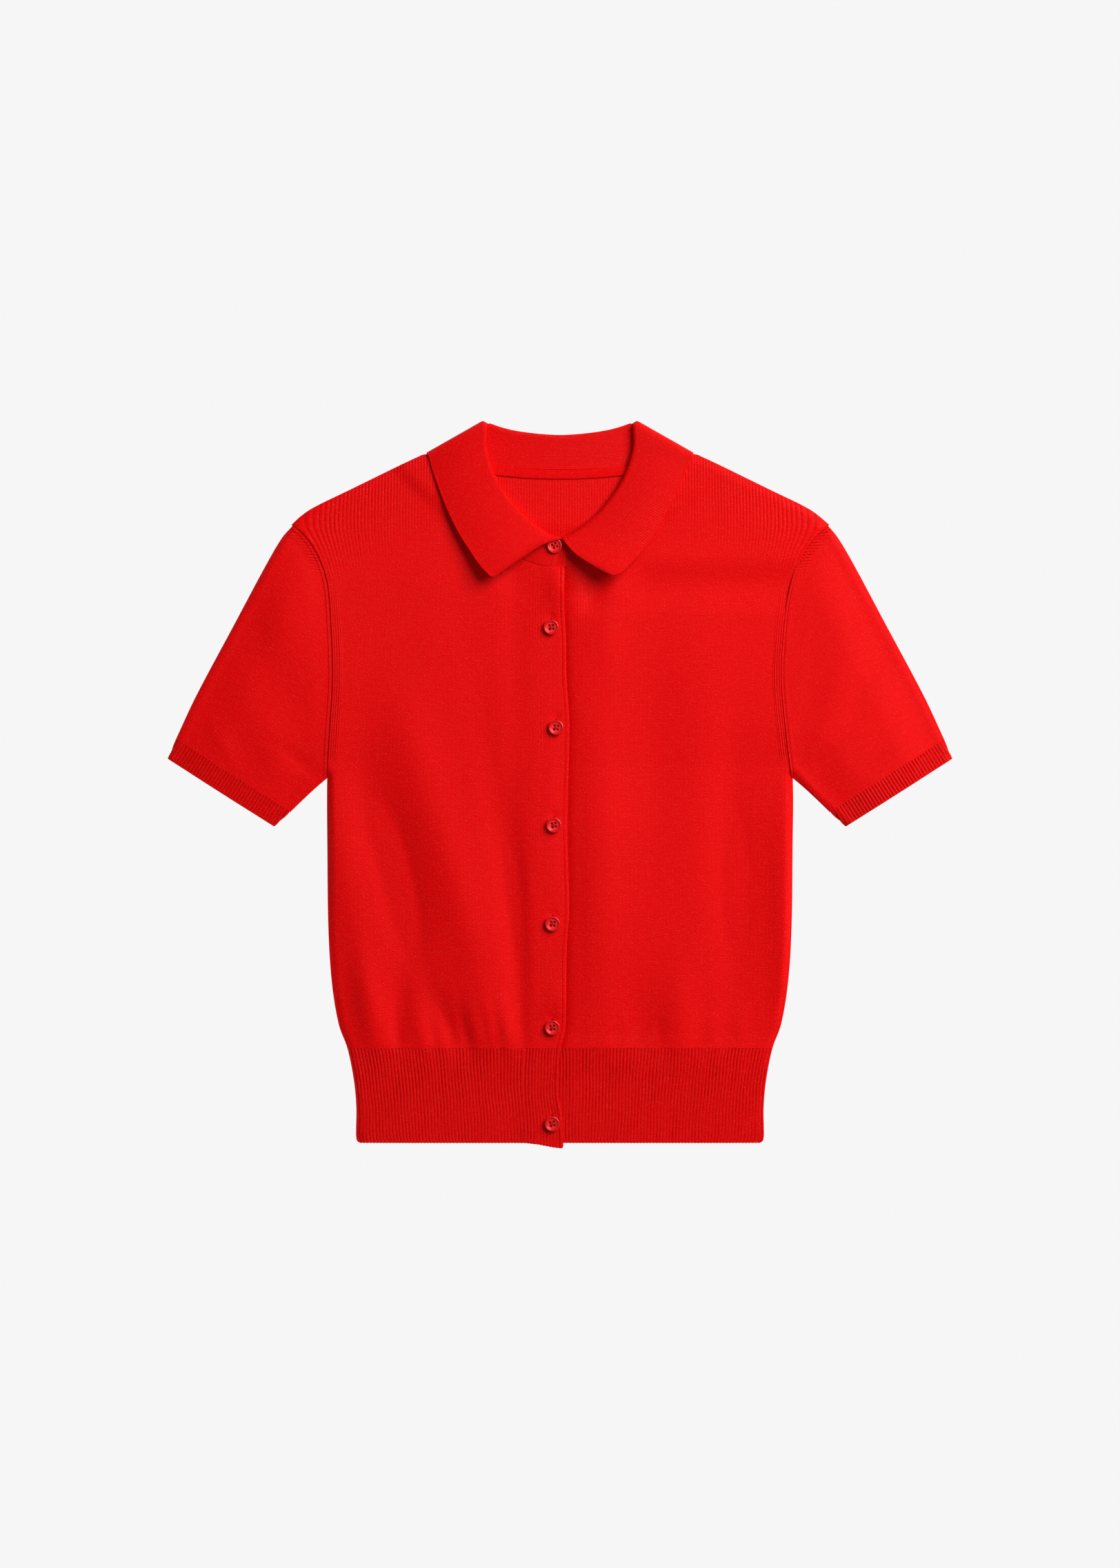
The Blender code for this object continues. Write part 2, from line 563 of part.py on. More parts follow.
def collar_half(side):
    """Sections of one half of the collar, from the centre front to the centre back."""
    table = COLLAR_FRONT_LEFT if side > 0 else COLLAR_FRONT_RIGHT
    height = height_left if side > 0 else height_right
    front_corners, back_corners = [], []
    for degrees, roll_x, roll_y, edge_x, edge_y, z_stand, z_fall, z_edge in table:
        neck = neck_point(degrees, side, 1 - STAND_SEAM / NECK_HALF)
        front_corners.append(flat_corners(neck, vec(side * roll_x, roll_y),
                                          vec(side * edge_x, edge_y),
                                          (height(*neck), z_stand, z_fall, z_edge)))
    for neck_x, neck_y, roll_x, roll_y, edge_x, edge_y in COLLAR_BACK:
        lean = BACK_ROLL_LEAN * (roll_x / COLLAR_BACK[0][2]) ** 3
        back_corners.append(flat_corners(vec(side * neck_x, neck_y), vec(side * roll_x, roll_y),
                                         vec(side * edge_x, edge_y),
                                         (STAND_UNDER, STAND_ROLL, FALL_UNDER, FALL_UNDER),
                                         vec(-side * lean, 1).normalized()))
    crest = []
    for degrees in CREST_ANGLES:
        corners = crest_corners(degrees, side)
        share = max(0.0, (degrees - CREST_BLEND[0]) / CREST_BLEND[1])
        for k in (1, 2, 4):
            corners[k] = corners[k].lerp(back_corners[0][k], share)
        crest.append(corners)
    return [collar_section(*corners) for corners in front_corners + crest + back_corners]


# The stand goes on in front of the fall: its steps past the first section.
# Columns: neckline angle in degrees on the wearer's side given, x, y of the stand's top
STAND_END_RIGHT = ((2, 1, 4.6, 468.6),)
STAND_END_LEFT = ((5, -1, -6.0, 473.0), (11, -1, -16.0, 471.5))


def stand_end(neck, top, level):
    """One step of the plain end of the stand, in front of the fall."""
    low, high = vec(*neck, level), vec(*top, level)
    return [low.lerp(high, k / (STAND_COLUMNS - 1)) for k in range(STAND_COLUMNS)]


def collar(material, collection):
    right, left = collar_half(-1), collar_half(1)
    sections = right + list(reversed(left[:-1]))
    columns = len(sections[0])
    points = [point for section in sections for point in section]
    faces = grid_faces(len(sections), columns)
    scale = 1 - STAND_SEAM / NECK_HALF
    at_neck = (0, NECK_Y - NECK_DEPTH)
    ends = ((0, STAND_END_RIGHT, height_right(*at_neck)),
            (len(sections) - 1, STAND_END_LEFT, height_left(*at_neck)))
    for station, steps, level in ends:
        previous = [station * columns + k for k in range(STAND_COLUMNS)]
        for degrees, side, top_x, top_y in steps:
            current = list(range(len(points), len(points) + STAND_COLUMNS))
            points += stand_end(neck_point(degrees, side, scale), (top_x, top_y), level)
            for k in range(STAND_COLUMNS - 1):
                face = (previous[k], previous[k + 1], current[k + 1], current[k])
                faces.append(face if station else tuple(reversed(face)))
            previous = current
    return sheet("collar", points, faces, material, collection)


def neck_tape(material, collection):
    half = [vec(*row) for row in TAPE_MIDDLE]
    middle = Path([vec(-point[0], point[1]) for point in reversed(half[1:])] + half)
    points = []
    for row in range(TAPE_ROWS):
        centre = middle(row / (TAPE_ROWS - 1))
        for across in (-TAPE_WIDTH / 2, 0.0, TAPE_WIDTH / 2):
            x, y = centre[0], centre[1] + across
            points.append((x, y, 2 * LAYER + TAPE_WALL / 2))
    faces = [tuple(reversed(face)) for face in grid_faces(TAPE_ROWS, 3)]
    return sheet("neck_tape", points, faces, material, collection, wall=TAPE_WALL)


# ------------------------------------------------------------------ buttons

def turned(name, profile, steps, collection):
    """A solid of revolution about z; its profile runs down the outer side."""
    mesh = bpy.data.meshes.new(name)
    mesh.from_pydata([(radius * MM, 0, level * MM) for radius, level in profile],
                     [(k, k + 1) for k in range(len(profile) - 1)], [])
    obj = bpy.data.objects.new(name, mesh)
    collection.objects.link(obj)
    screw = obj.modifiers.new("Turn", "SCREW")
    screw.steps = screw.render_steps = steps
    screw.use_merge_vertices = True
    screw.merge_threshold = 0.00001
    return obj


def settled(obj, collection, name):
    """The object's evaluated mesh as a plain mesh; the working object is removed."""
    graph = bpy.context.evaluated_depsgraph_get()
    mesh = bpy.data.meshes.new_from_object(obj.evaluated_get(graph))
    mesh.name = name
    bpy.data.objects.remove(obj)
    return mesh


def cylinder(name, radius, low, high, at, steps, collection):
    bpy.ops.mesh.primitive_cylinder_add(vertices=steps, radius=radius * MM, depth=(high - low) * MM,
                                        location=(at[0] * MM, at[1] * MM, (low + high) / 2 * MM))
    obj = bpy.context.object
    obj.name = name
    for owner in list(obj.users_collection):
        owner.objects.unlink(obj)
    collection.objects.link(obj)
    return obj


def boolean(obj, tool, operation):
    cut = obj.modifiers.new(tool.name, "BOOLEAN")
    cut.operation = operation
    cut.object = tool
    tool.hide_render = True
    tool.display_type = "WIRE"


def hole_places():
    half = HOLE_SPACING / 2
    return [(x * half, y * half) for x in (-1, 1) for y in (-1, 1)]


def button_mesh(tools):
    profile = [(BUTTON_RADIUS * share, level) for share, level in BUTTON_PROFILE]
    body = turned("button_body", profile, BUTTON_STEPS, tools)
    drills = [cylinder("hole", HOLE_RADIUS, -DRILL_PAST, BUTTON_HEIGHT + DRILL_PAST, place,
                       HOLE_STEPS, tools) for place in hole_places()]
    for drill in drills:
        boolean(body, drill, "DIFFERENCE")
    mesh = settled(body, tools, "button")
    for drill in drills:
        bpy.data.objects.remove(drill)
    return mesh


def thread_mesh(tools):
    """A shank with a disc under the button, four legs through its holes and two stitches."""
    below = -SHANK_HEIGHT - WALL
    disc = -GAP - THREAD_DISC
    spread = (HOLE_SPACING / 2 + THREAD_RADIUS + THREAD_OVERLAP) * DISC_SPREAD
    profile = ((0, -GAP), (spread, -GAP), (spread, disc), (SHANK_RADIUS, disc),
               (SHANK_RADIUS, below), (0, below))
    body = turned("thread_body", profile, SHANK_STEPS, tools)
    stitch = BUTTON_DISH + STITCH_RISE + THREAD_RADIUS
    pieces = []
    for place in hole_places():
        pieces.append(cylinder("leg", THREAD_RADIUS, disc + THREAD_OVERLAP, stitch, place,
                               LEG_STEPS, tools))
    for x in (-1, 1):
        bpy.ops.mesh.primitive_cube_add(size=1, location=(x * HOLE_SPACING / 2 * MM, 0, stitch * MM))
        bar = bpy.context.object
        width = BAR_WIDTH * THREAD_RADIUS * 2
        bar.scale = (width * MM, (HOLE_SPACING + width) * MM, BAR_HEIGHT * THREAD_RADIUS * 2 * MM)
        pieces.append(bar)
    for piece in pieces:
        boolean(body, piece, "UNION")
    mesh = settled(body, tools, "button_thread")
    for piece in pieces:
        bpy.data.objects.remove(piece)
    return mesh


def buttonhole(number, x, y, low, high, tools):
    """A cutter: a pointed slit that the shank holds open."""
    length, width = SLIT_HALF_LENGTH, SLIT_HALF_WIDTH
    if number == 1:
        y -= NECK_SLIT_DROP
        length -= NECK_SLIT_SHORTER
    bpy.ops.mesh.primitive_cylinder_add(vertices=SLIT_STEPS, radius=1.0, depth=1.0)
    slit = bpy.context.object
    slit.name = f"slit_{number}"
    slit.data.transform(slit.matrix_world.inverted())
    for vertex in slit.data.vertices:
        vertex.co.x *= width * MM
        vertex.co.y *= length * MM
        vertex.co.z *= (high - low) * MM
    slit.location = row_frame((x, y, (low + high) / 2))
    return slit


def buttons(hosts, materials, collection, tools):
    disc, thread = button_mesh(tools), thread_mesh(tools)
    level = BUTTON_CLOTH + SHANK_HEIGHT
    for number, (x, y, turn) in enumerate(BUTTONS, 1):
        for name, mesh, material in ((f"button_{number}", disc, materials["button"]),
                                     (f"button_thread_{number}", thread, materials["thread"])):
            obj = add_object(name, mesh, material, collection)
            obj.location = row_frame((x, y, level))
            obj.rotation_euler = (0, 0, math.radians(turn))
        host = hosts["collar"] if number == 1 else hosts["hem"] if y < RIB_TOP else hosts["front"]
        slit = buttonhole(number, x, y, UNDER_CLOTH + GAP / 2, BUTTON_CLOTH + GAP / 2, tools)
        for owner in list(slit.users_collection):
            owner.objects.unlink(slit)
        tools.objects.link(slit)
        boolean(host, slit, "DIFFERENCE")


def main():
    for obj in list(bpy.data.objects):
        bpy.data.objects.remove(obj)
    scene = bpy.context.scene
    collection = bpy.data.collections.new("Short sleeve cardigan")
    tools = bpy.data.collections.new("Cutters")
    scene.collection.children.link(collection)
    scene.collection.children.link(tools)
    jersey = new_material("red jersey", (0.72, 0.004, 0.006), 0.85)
    rib = new_material("red rib", (0.62, 0.003, 0.005), 0.85)
    materials = {"button": new_material("red button", (0.42, 0.003, 0.006), 0.25),
                 "thread": new_material("red thread", (0.4, 0.005, 0.01), 0.7)}
    back(jersey, collection)
    right_front = front("front_right", -1, jersey, collection)
    front("front_left", 1, jersey, collection)
    hem_ribs(rib, collection)
    for side, word in ((-1, "right"), (1, "left")):
        sleeve(f"sleeve_{word}", side, jersey, collection)
        cuff(f"cuff_{word}", side, rib, collection)
    folded = collar(jersey, collection)
    neck_tape(jersey, collection)
    hosts = {"collar": folded, "front": right_front,
             "hem": bpy.data.objects["hem_rib_front_right"]}
    buttons(hosts, materials, collection, tools)


main()
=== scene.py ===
"""Short sleeve knitted cardigan with a turn-down collar, buttoned up and laid flat.

Each piece of cloth is a thin shell on the form of its CAD solid, with the ribs, rolled edges,
creases and seams of the knitting. Lengths are in millimetres in the garment's own layout:
x across from the centre front (+x is the wearer's left), y up from the hem, z up from the
surface it lies on.
"""
import math
from functools import partialmethod

import bpy
import numpy as np
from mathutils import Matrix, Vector


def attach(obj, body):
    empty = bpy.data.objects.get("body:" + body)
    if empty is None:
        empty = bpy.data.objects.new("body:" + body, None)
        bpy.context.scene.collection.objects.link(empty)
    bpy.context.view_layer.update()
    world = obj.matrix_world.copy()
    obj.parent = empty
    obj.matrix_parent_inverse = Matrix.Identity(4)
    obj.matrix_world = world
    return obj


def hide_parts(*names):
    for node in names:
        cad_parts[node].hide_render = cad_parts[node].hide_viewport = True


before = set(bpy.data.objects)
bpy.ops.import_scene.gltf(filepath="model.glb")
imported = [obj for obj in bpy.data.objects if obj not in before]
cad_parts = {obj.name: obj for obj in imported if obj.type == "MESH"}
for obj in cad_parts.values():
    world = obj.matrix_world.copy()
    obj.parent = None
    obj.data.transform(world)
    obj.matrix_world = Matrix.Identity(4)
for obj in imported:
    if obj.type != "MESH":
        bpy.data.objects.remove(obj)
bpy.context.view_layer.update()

MM = 0.001

# Cloth
WALL = 1.5            # thickness of the knitted cloth
GAP = 0.3             # between neighbouring pieces
LAYER = WALL + GAP    # height that one more layer of cloth adds
LOFT = 1.2            # air between front and back, away from the folded sides
LOFT_REACH = 5.6      # distance from the outline over which the loft grows
PUFF = 1.5            # how much more the cloth stands up away from collar and buttons
PUFF_REACH = 42.0     # distance from the outline over which that air builds up
SLEEVE_DOME = 2.8     # the sleeves rise further towards their middle
SLEEVE_REACH = 40.0
TUBE_LIFT = 0.5       # extra room for the round fold along a sleeve's two edges

# Body
RIB_TOP = 74.0        # top of the hem rib
HEM_TIP = (1.5, -4.1)   # the corner of the overlapping front, a little below the hem
UNDER_EDGE = -16.0    # edge of the left front, hidden under the right one
SHOULDER_Y = 484.0    # shoulder point
NECK_HALF = 80.8      # half width of the neckline
NECK_Y = 549.0        # neck point
NECK_DEPTH = 98.0     # front neck drop
COLLAR_PEAK = (59.4, 565.9)
COLLAR_EDGE = (104.8, 540.3)   # where the fall's outer edge passes over the shoulder
MID_Y = (COLLAR_PEAK[1] + HEM_TIP[1]) / 2

# Side of the body. Columns: half width, height
SIDE = ((156.8, 0.0), (159.0, 1.3), (159.8, 4.5), (159.6, 28.0), (161.7, 50.0), (166.6, RIB_TOP),
        (173.2, 92.0), (178.5, 123.0), (181.4, 165.0), (182.3, 230.0), (182.4, 287.0))
# Armhole seam. Columns: height, distance from the centre on the wearer's right, on the left
ARMHOLE = ((287.0, 182.4, 182.4), (323.0, 180.5, 178.0), (365.0, 178.1, 174.6),
           (416.5, 180.1, 178.0), (441.0, 182.9, 182.9), (461.0, 190.4, 190.6),
           (475.0, 199.8, 201.0), (SHOULDER_Y, 210.4, 211.0))
# Shoulder from the shoulder point to the neck point. Columns: distance from the centre, height
SHOULDER = ((204.6, 489.6), (197.4, 495.2), (187.0, 500.8), (165.0, 511.3), (132.0, 527.5),
            (115.0, 535.4), (107.5, 538.9), (103.0, 539.4), (NECK_HALF, NECK_Y))
# Buttoned edge of the right front, hem to neck. Columns: x, height
PLACKET = (HEM_TIP, (2.6, -2.6), (1.9, 19.4), (-1.2, 40.0), (-0.3, 68.6), (4.4, 91.8),
           (5.2, 150.0), (7.2, 182.0), (5.7, 246.8), (7.4, 327.0), (5.2, 360.7), (4.6, 395.0),
           (3.2, 424.0), (3.6, 450.4))
PLACKET_AT_RIB = (0.6, RIB_TOP)

# Sleeve, from the armhole's ends down to the cuff. Columns: distance from the centre, height
SLEEVE_OUTER = ((217.6, 474.2), (229.2, 454.7), (255.2, 406.1), (285.4, 349.4), (301.0, 316.0))
SLEEVE_UNDER = ((193.0, 276.5), (211.2, 259.0))
CUFF_OUTER = ((301.0, 316.0), (307.5, 300.8))
CUFF_UNDER = ((211.2, 259.0), (223.8, 247.5))
SLEEVE_LEAN = 32.5    # degrees between the sleeve's courses and the body's

# Relief of the cloth: broad ridges and troughs, then the small creases over the hem rib.
# Columns: x, y, half length, half width, rise, lean in degrees
FOLDS = ((-150, 112, 40, 10, 3.2, 8), (-127, 205, 80, 17, -4.6, 12), (-126, 104, 30, 9, -2.6, 0),
         (-172, 225, 84, 15, 2.3, 8), (-82, 205, 108, 18, 3.0, 16),
         (-88, 92, 26, 9, -2.6, 22), (-108, 84, 20, 7, 1.0, 8), (-37, 190, 120, 13, -2.8, 9),
         (-52, 96, 30, 10, 1.5, 22), (-152, 262, 44, 14, -1.5, 6), (-118, 318, 56, 20, 1.2, 14),
         (34, 200, 140, 16, 2.1, 0), (43, 436, 18, 15, 1.8, 0), (25, 434, 16, 12, -2.2, 0),
         (36, 400, 34, 14, 1.6, 0), (62, 92, 26, 12, -1.5, -3), (94, 96, 40, 13, 2.2, 0),
         (74, 292, 70, 26, -1.8, 0),
         (137, 205, 104, 18, -3.6, 0), (178, 190, 110, 13, 3.6, 0), (112, 372, 60, 26, 0.7, 0),
         (-104, 392, 60, 22, 0.7, 0), (-226, 380, 60, 16, -0.8, 24), (236, 352, 44, 12, -1.2, -28),
         (208, 330, 40, 12, 0.8, -20), (-236, 330, 44, 14, 0.9, 28), (-196, 385, 90, 40, 2.4, 20))
CREASES = ((-74, 86, 20, 3.8, -1.3, 14), (-66, 92, 24, 5.0, 0.9, 12), (-49, 88, 20, 3.4, -1.1, 9),
           (-41, 94, 26, 4.6, 0.8, 8), (-29, 88, 18, 3.4, -0.6, 6),
           (-128, 86, 16, 4.5, -0.9, 6), (-100, 84, 14, 4.0, -0.7, 10), (-92, 86, 15, 4.0, 0.6, 10),
           (44, 86, 13, 4.0, -0.6, -5), (78, 85, 12, 4.0, -0.6, 4), (120, 86, 14, 4.5, 0.6, 0),
           (142, 88, 15, 5.0, 0.7, -4), (-122, 58, 16, 5.0, -0.7, 62), (-112, 50, 14, 5.0, 0.5, 62),
           (206, 300, 22, 6.0, -0.6, -52), (-206, 300, 22, 6.0, -0.6, 52),
           (262, 312, 20, 6.0, 0.5, -30), (-262, 310, 20, 6.0, 0.5, 30))
# Soft folds along the buttoned edge of the right front. Columns as above
STRIP = ((-1, 436, 18, 12, 3.2, 0), (0, 110, 16, 12, 1.6, 0))
STRIP_UNDER = 0.7     # share of them that the left front has under that edge
# How much lower the left front lies, from just short of that edge to its side. It is taken off
# after the cloth is held clear of the back, so it lets the left front cut into the back's wall
# where there is little air between them. Columns: y, depth
EDGE_SINK = ((0, 0.2), (60, 0.3), (85, 1.6), (105, 1.6), (150, 1.0), (250, 1.2), (295, 2.0),
             (330, 1.6), (370, 1.4), (414, 1.4), (432, 2.6))
SWELLS = ((2.0, 3.5), (1.6, 12.0))    # and how it swells again beyond. Columns: rise, reach
SWELL_END = 38.0
DROOP = (1.5, 255.0, 75.0)    # of the buttoned edge: depth, height of its middle, half length
DIMPLE = (7.5, 3.6, 3.4, -0.9)    # over each button: distance, half length, half width, rise
# Where things fade in. Columns: where they start, over what length they reach full strength
FOLDS_START = {-1: (20.0, 14.0), 1: (10.0, 14.0)}    # from the centre front, on each side
PUFF_START = {-1: (18.0, 34.0), 1: (24.0, 40.0)}
PUFF_NECK = (86.0, 20.0)          # from the neck's middle
PUFF_HEM = (40.0, 60.0)           # from the hem
PUFF_SHOULDER = (430.0, 50.0)     # most of it goes again towards the shoulder
SLEEVE_START = (186.0, 40.0)      # from the centre
CALM_HEM = (50.0, 34.0)           # folds are weak on the rib
CALM_SWELL = (50.0, 30.0)
SINK_START = (-9.0, 8.0)          # from the buttoned edge
DROOP_START = (-16.0, 16.0)
STEP_START = (UNDER_EDGE - 24.0, 22.0)    # the right front climbs over the left one's edge
SINK_STOP = 460.0                 # the left front is level above this height
SINK_FADE = 24.0
BACK_LIFT = (-26.0, 14.0)         # from the edge of the fall that lies under the back
# Shallow hollows in the underside of the back
BACK_TROUGHS = ((-120, 120, 40, 12, 0.5, 5), (-52, 96, 26, 7, 0.45, -6), (18, 140, 60, 14, 0.4, 2),
                (88, 104, 34, 10, 0.5, -4), (134, 180, 70, 15, 0.45, 3), (0, 330, 120, 40, 0.4, 0))

# Collar stations from the centre front to beside the neck point.
# Columns: neckline angle in degrees, roll line x, y, outer edge x, y,
#          height of the stand's top, of the fall at the roll, of the fall's edge
COLLAR_FRONT_LEFT = ((3, 0.9, 474.2, 37.4, 445.2, 3.8, 12.0, 19.0),
                     (8, 6.3, 476.0, 42.1, 443.3, 3.8, 11.6, 20.0),
                     (14, 13.0, 480.0, 48.5, 446.0, 4.0, 10.8, 19.0),
                     (22, 20.0, 485.0, 54.5, 452.0, 4.2, 9.9, 17.0),
                     (33, 29.5, 493.3, 65.0, 463.6, 4.4, 9.2, 14.2),
                     (46, 39.5, 505.2, 76.5, 480.0, 5.0, 8.9, 11.6),
                     (59, 48.0, 518.0, 86.5, 498.5, 5.6, 8.9, 9.7),
                     (70, 54.0, 532.5, 93.8, 513.5, 5.9, 8.9, 8.4),
                     (79, 57.3, 546.5, 99.0, 526.5, 6.2, 8.9, 7.6))
COLLAR_FRONT_RIGHT = ((3, -2.0, 474.8, 47.0, 445.6, 5.6, 10.4, 15.6),
                      (8, 5.6, 475.9, 53.0, 442.3, 5.6, 10.4, 18.2),
                      (14, 12.6, 480.0, 58.4, 446.4, 5.5, 10.6, 18.0),
                      (22, 20.5, 486.0, 64.0, 453.0, 5.2, 10.0, 15.8),
                      (33, 28.5, 493.3, 71.0, 463.6, 4.8, 9.4, 13.4),
                      (46, 39.0, 505.0, 80.0, 478.0, 5.0, 9.0, 11.0),
                      (59, 48.0, 518.0, 88.5, 495.5, 5.6, 8.9, 9.4),
                      (70, 54.0, 532.5, 94.8, 511.5, 5.9, 8.9, 8.4),
                      (79, 57.3, 546.5, 99.5, 525.0, 6.2, 8.9, 7.6))
# Collar stations from beside the neck point to the centre back.
# Columns: neckline x, y, roll line x, y, outer edge x, y
COLLAR_BACK = ((74.4, 540.6, 54.5, 563.6, 93.0, 520.0),
               (68.5, 534.2, 47.0, 561.0, 80.0, 511.0),
               (51.0, 529.6, 37.0, 558.4, 62.0, 505.5),
               (34.0, 527.8, 25.0, 556.5, 42.0, 503.2),
               (17.0, 527.0, 12.5, 555.2, 21.0, 502.3),
               (0.0, 526.8, 0.0, 554.6, 0.0, 502.0))
FRONT_EDGE_BOW = {1: -2.8, -1: 2.6}   # how far the leaves' front edges bend up, at their middle
BOW_SKEW = {1: 0.75, -1: 0.55}   # below 1 the bow is fullest nearer to the centre front
BOW_SHARES = (1.0, 0.75, 0.45, 0.2)   # and how much of it reaches the next stations
CREST_ANGLES = (0, 30, 60, 90, 120, 150, 180)   # the fall turning over the shoulder
STAND_AT_CREST = 26.5    # height of the stand beside the neck point
ARMHOLE_GAP = -1.5       # the sleeve's edge is linked into the body's
SEAM_SINK = 0.8          # and its upper layer lies this much below the body's there
SEAM_FADE = 18.0         # rising again over this distance
STAND_SEAM = -0.8        # the stand is linked to the panels' neckline
STAND_SCALE = 1 - STAND_SEAM / NECK_HALF    # its seam's curve against the neckline
FALL_UNDER = WALL / 2    # middle of the fall's wall below the back
STAND_UNDER = LAYER + WALL / 2   # middle of the stand's wall at the back's neckline
STAND_ROLL = 3.35        # and at the roll, which is thicker than two layers
BACK_ROLL_LEAN = 0.35    # how far the roll leans sideways next to its peak
CREST_TURN = 1.5         # radius of the stand's turn over the shoulder
CREST_APART = 2.6        # from the stand to the fall around it

# Neck tape. Columns: x, y of its middle line, for x > 0
TAPE_MIDDLE = ((0.0, 523.2), (20.0, 523.6), (40.0, 525.0), (50.0, 526.2), (58.0, 527.6))
TAPE_WIDTH = 7.0
TAPE_WALL = 1.0

# Buttons. Columns: x, y of the centre, turn in degrees. The first is on the collar's stand
BUTTONS = ((-4.3, 467.2, 30.0), (-6.9, 403.5, 4.0), (-3.1, 325.0, -6.0), (-4.8, 248.7, 8.0),
           (-5.8, 171.5, -4.0), (-6.0, 90.3, 5.0), (-6.1, 15.1, 12.0))
BUTTON_RADIUS = 6.0
BUTTON_HEIGHT = 2.4
BUTTON_DISH = 1.5        # thickness inside the raised rim
SHANK_HEIGHT = 1.0       # the thread lifts the button this far off the cloth
HOLE_RADIUS = 0.85
HOLE_SPACING = 2.8       # between neighbouring holes
SLIT_HALF_LENGTH = 6.4
SLIT_HALF_WIDTH = 1.7
SLIT_RISE = 0.5          # the shank pulls to the lower end of its slit

# Knitting
WALE = 1.3               # width of a column of stitches
COURSE = 1.0             # height of a row of stitches
HEM_PITCH = 2.65         # of the hem's and cuffs' ribs
HEM_CHANNEL = 0.62       # depth between two ribs
SHOULDER_PITCH = 2.2     # of the ribs that run down from the shoulder
BAND_PITCH = 1.75        # of the raised wales beside the armhole
COLLAR_PITCH = 1.55      # of the fine ribs across the collar


# ------------------------------------------------------------------ lines and heights

def smooth(value):
    value = np.clip(value, 0.0, 1.0)
    return value * value * (3 - 2 * value)


def ramp(value, start, length):
    return smooth((value - start) / length)


class Path:
    """A smooth curve through a short list of points, read by fractions 0..1 of its length."""

    def __init__(self, points):
        self.points = np.array(points, float)
        steps = np.linalg.norm(np.diff(self.points, axis=0), axis=1)
        run = np.concatenate(([0.0], np.cumsum(steps)))
        self.length = run[-1]
        self.stops = run / run[-1]
        index = np.arange(len(run))
        low, high = np.maximum(index - 1, 0), np.minimum(index + 1, len(run) - 1)
        self.slopes = ((self.points[high] - self.points[low])
                       / (self.stops[high] - self.stops[low])[:, None])

    def __call__(self, fraction):
        fraction = np.asarray(fraction, float)
        index = np.clip(np.searchsorted(self.stops, fraction, "right") - 1, 0,
                        len(self.stops) - 2)
        step = (self.stops[index + 1] - self.stops[index])[..., None]
        t = (fraction - self.stops[index])[..., None] / step
        return (self.points[index] * (2 * t**3 - 3 * t**2 + 1)
                + self.slopes[index] * step * (t**3 - 2 * t**2 + t)
                + self.points[index + 1] * (3 * t**2 - 2 * t**3)
                + self.slopes[index + 1] * step * (t**3 - t**2))


class Part:
    """A stretch of a path, read by fractions 0..1 of its own."""

    def __init__(self, path, low, high):
        self.path, self.low, self.high = path, low, high
        self.length = path.length * (high - low)

    def __call__(self, fraction):
        return self.path(self.low + (self.high - self.low) * np.asarray(fraction, float))


def split(path, y):
    """A rising path below and above a height."""
    share = np.linspace(0, 1, 4001)
    at = float(np.interp(y, path(share)[:, 1], share))
    return Part(path, 0.0, at), Part(path, at, 1.0)


def side_table(side, rows):
    """The rows of a table of (distance, height), placed on the wearer's left (+1) or right (-1)."""
    return [(side * row[0], row[1]) for row in rows]


def armhole(side):
    column = 2 if side > 0 else 1
    return [(side * row[column], row[0]) for row in ARMHOLE]


def neck_point(degrees, side=1, scale=1.0):
    angle = math.radians(degrees)
    return (side * NECK_HALF * scale * math.sin(angle),
            NECK_Y - NECK_DEPTH * scale * math.cos(angle))


def shoulder_point(distance, side):
    rows = [(ARMHOLE[-1][2 if side > 0 else 1], SHOULDER_Y)] + list(SHOULDER)
    for (outer, low), (inner, high) in zip(rows, rows[1:]):
        if inner <= distance <= outer:
            return (side * distance, low + (high - low) * (outer - distance) / (outer - inner))
    return (side * NECK_HALF, NECK_Y)


def outline():
    """The folded edges of one half of the garment, hem to collar."""
    rows = list(SIDE) + list(SLEEVE_UNDER) + [CUFF_UNDER[1], CUFF_OUTER[1]]
    rows += list(reversed(SLEEVE_OUTER)) + [(ARMHOLE[-1][2], SHOULDER_Y)]
    rows += list(SHOULDER[:-2]) + [COLLAR_EDGE, COLLAR_PEAK]
    return [np.array(row) for row in rows]


FOLDED_EDGE = outline()
CUFF_LINE = len(SIDE) + len(SLEEVE_UNDER)    # the cuff's open edge starts at this row


def distance_to(line, x, y, skip=None):
    """Distance from each point to a line of straight pieces."""
    nearest = np.full(np.shape(x), 1e9)
    for index, (start, end) in enumerate(zip(line, line[1:])):
        if index == skip:
            continue
        along = end - start
        share = np.clip(((x - start[0]) * along[0] + (y - start[1]) * along[1])
                        / (along @ along), 0.0, 1.0)
        nearest = np.minimum(nearest, np.hypot(start[0] + along[0] * share - x,
                                               start[1] + along[1] * share - y))
    return nearest


def edge_distance(x, y):
    """Distance to the nearest folded edge; the open hem and cuff edges do not count."""
    return distance_to(FOLDED_EDGE, np.abs(x), y, skip=CUFF_LINE)


def back_lift(x, y):
    """The panels rise by one layer over the part of the collar that lies under the back."""
    fall_edge = 498.0 + 28.0 * np.abs(x / COLLAR_EDGE[0]) ** 3
    return LAYER * ramp(y - fall_edge, *BACK_LIFT)


def relief(x, y, table):
    """Height of a table of leaning ridges and troughs."""
    rise = np.zeros(np.shape(x))
    for across, up, length, width, height, lean in table:
        turn = math.radians(lean)
        right, above = x - across, y - up
        along = above * math.cos(turn) - right * math.sin(turn)
        aside = right * math.cos(turn) + above * math.sin(turn)
        rise = rise + height * np.exp(-(along / length) ** 2 - (aside / width) ** 2)
    return rise


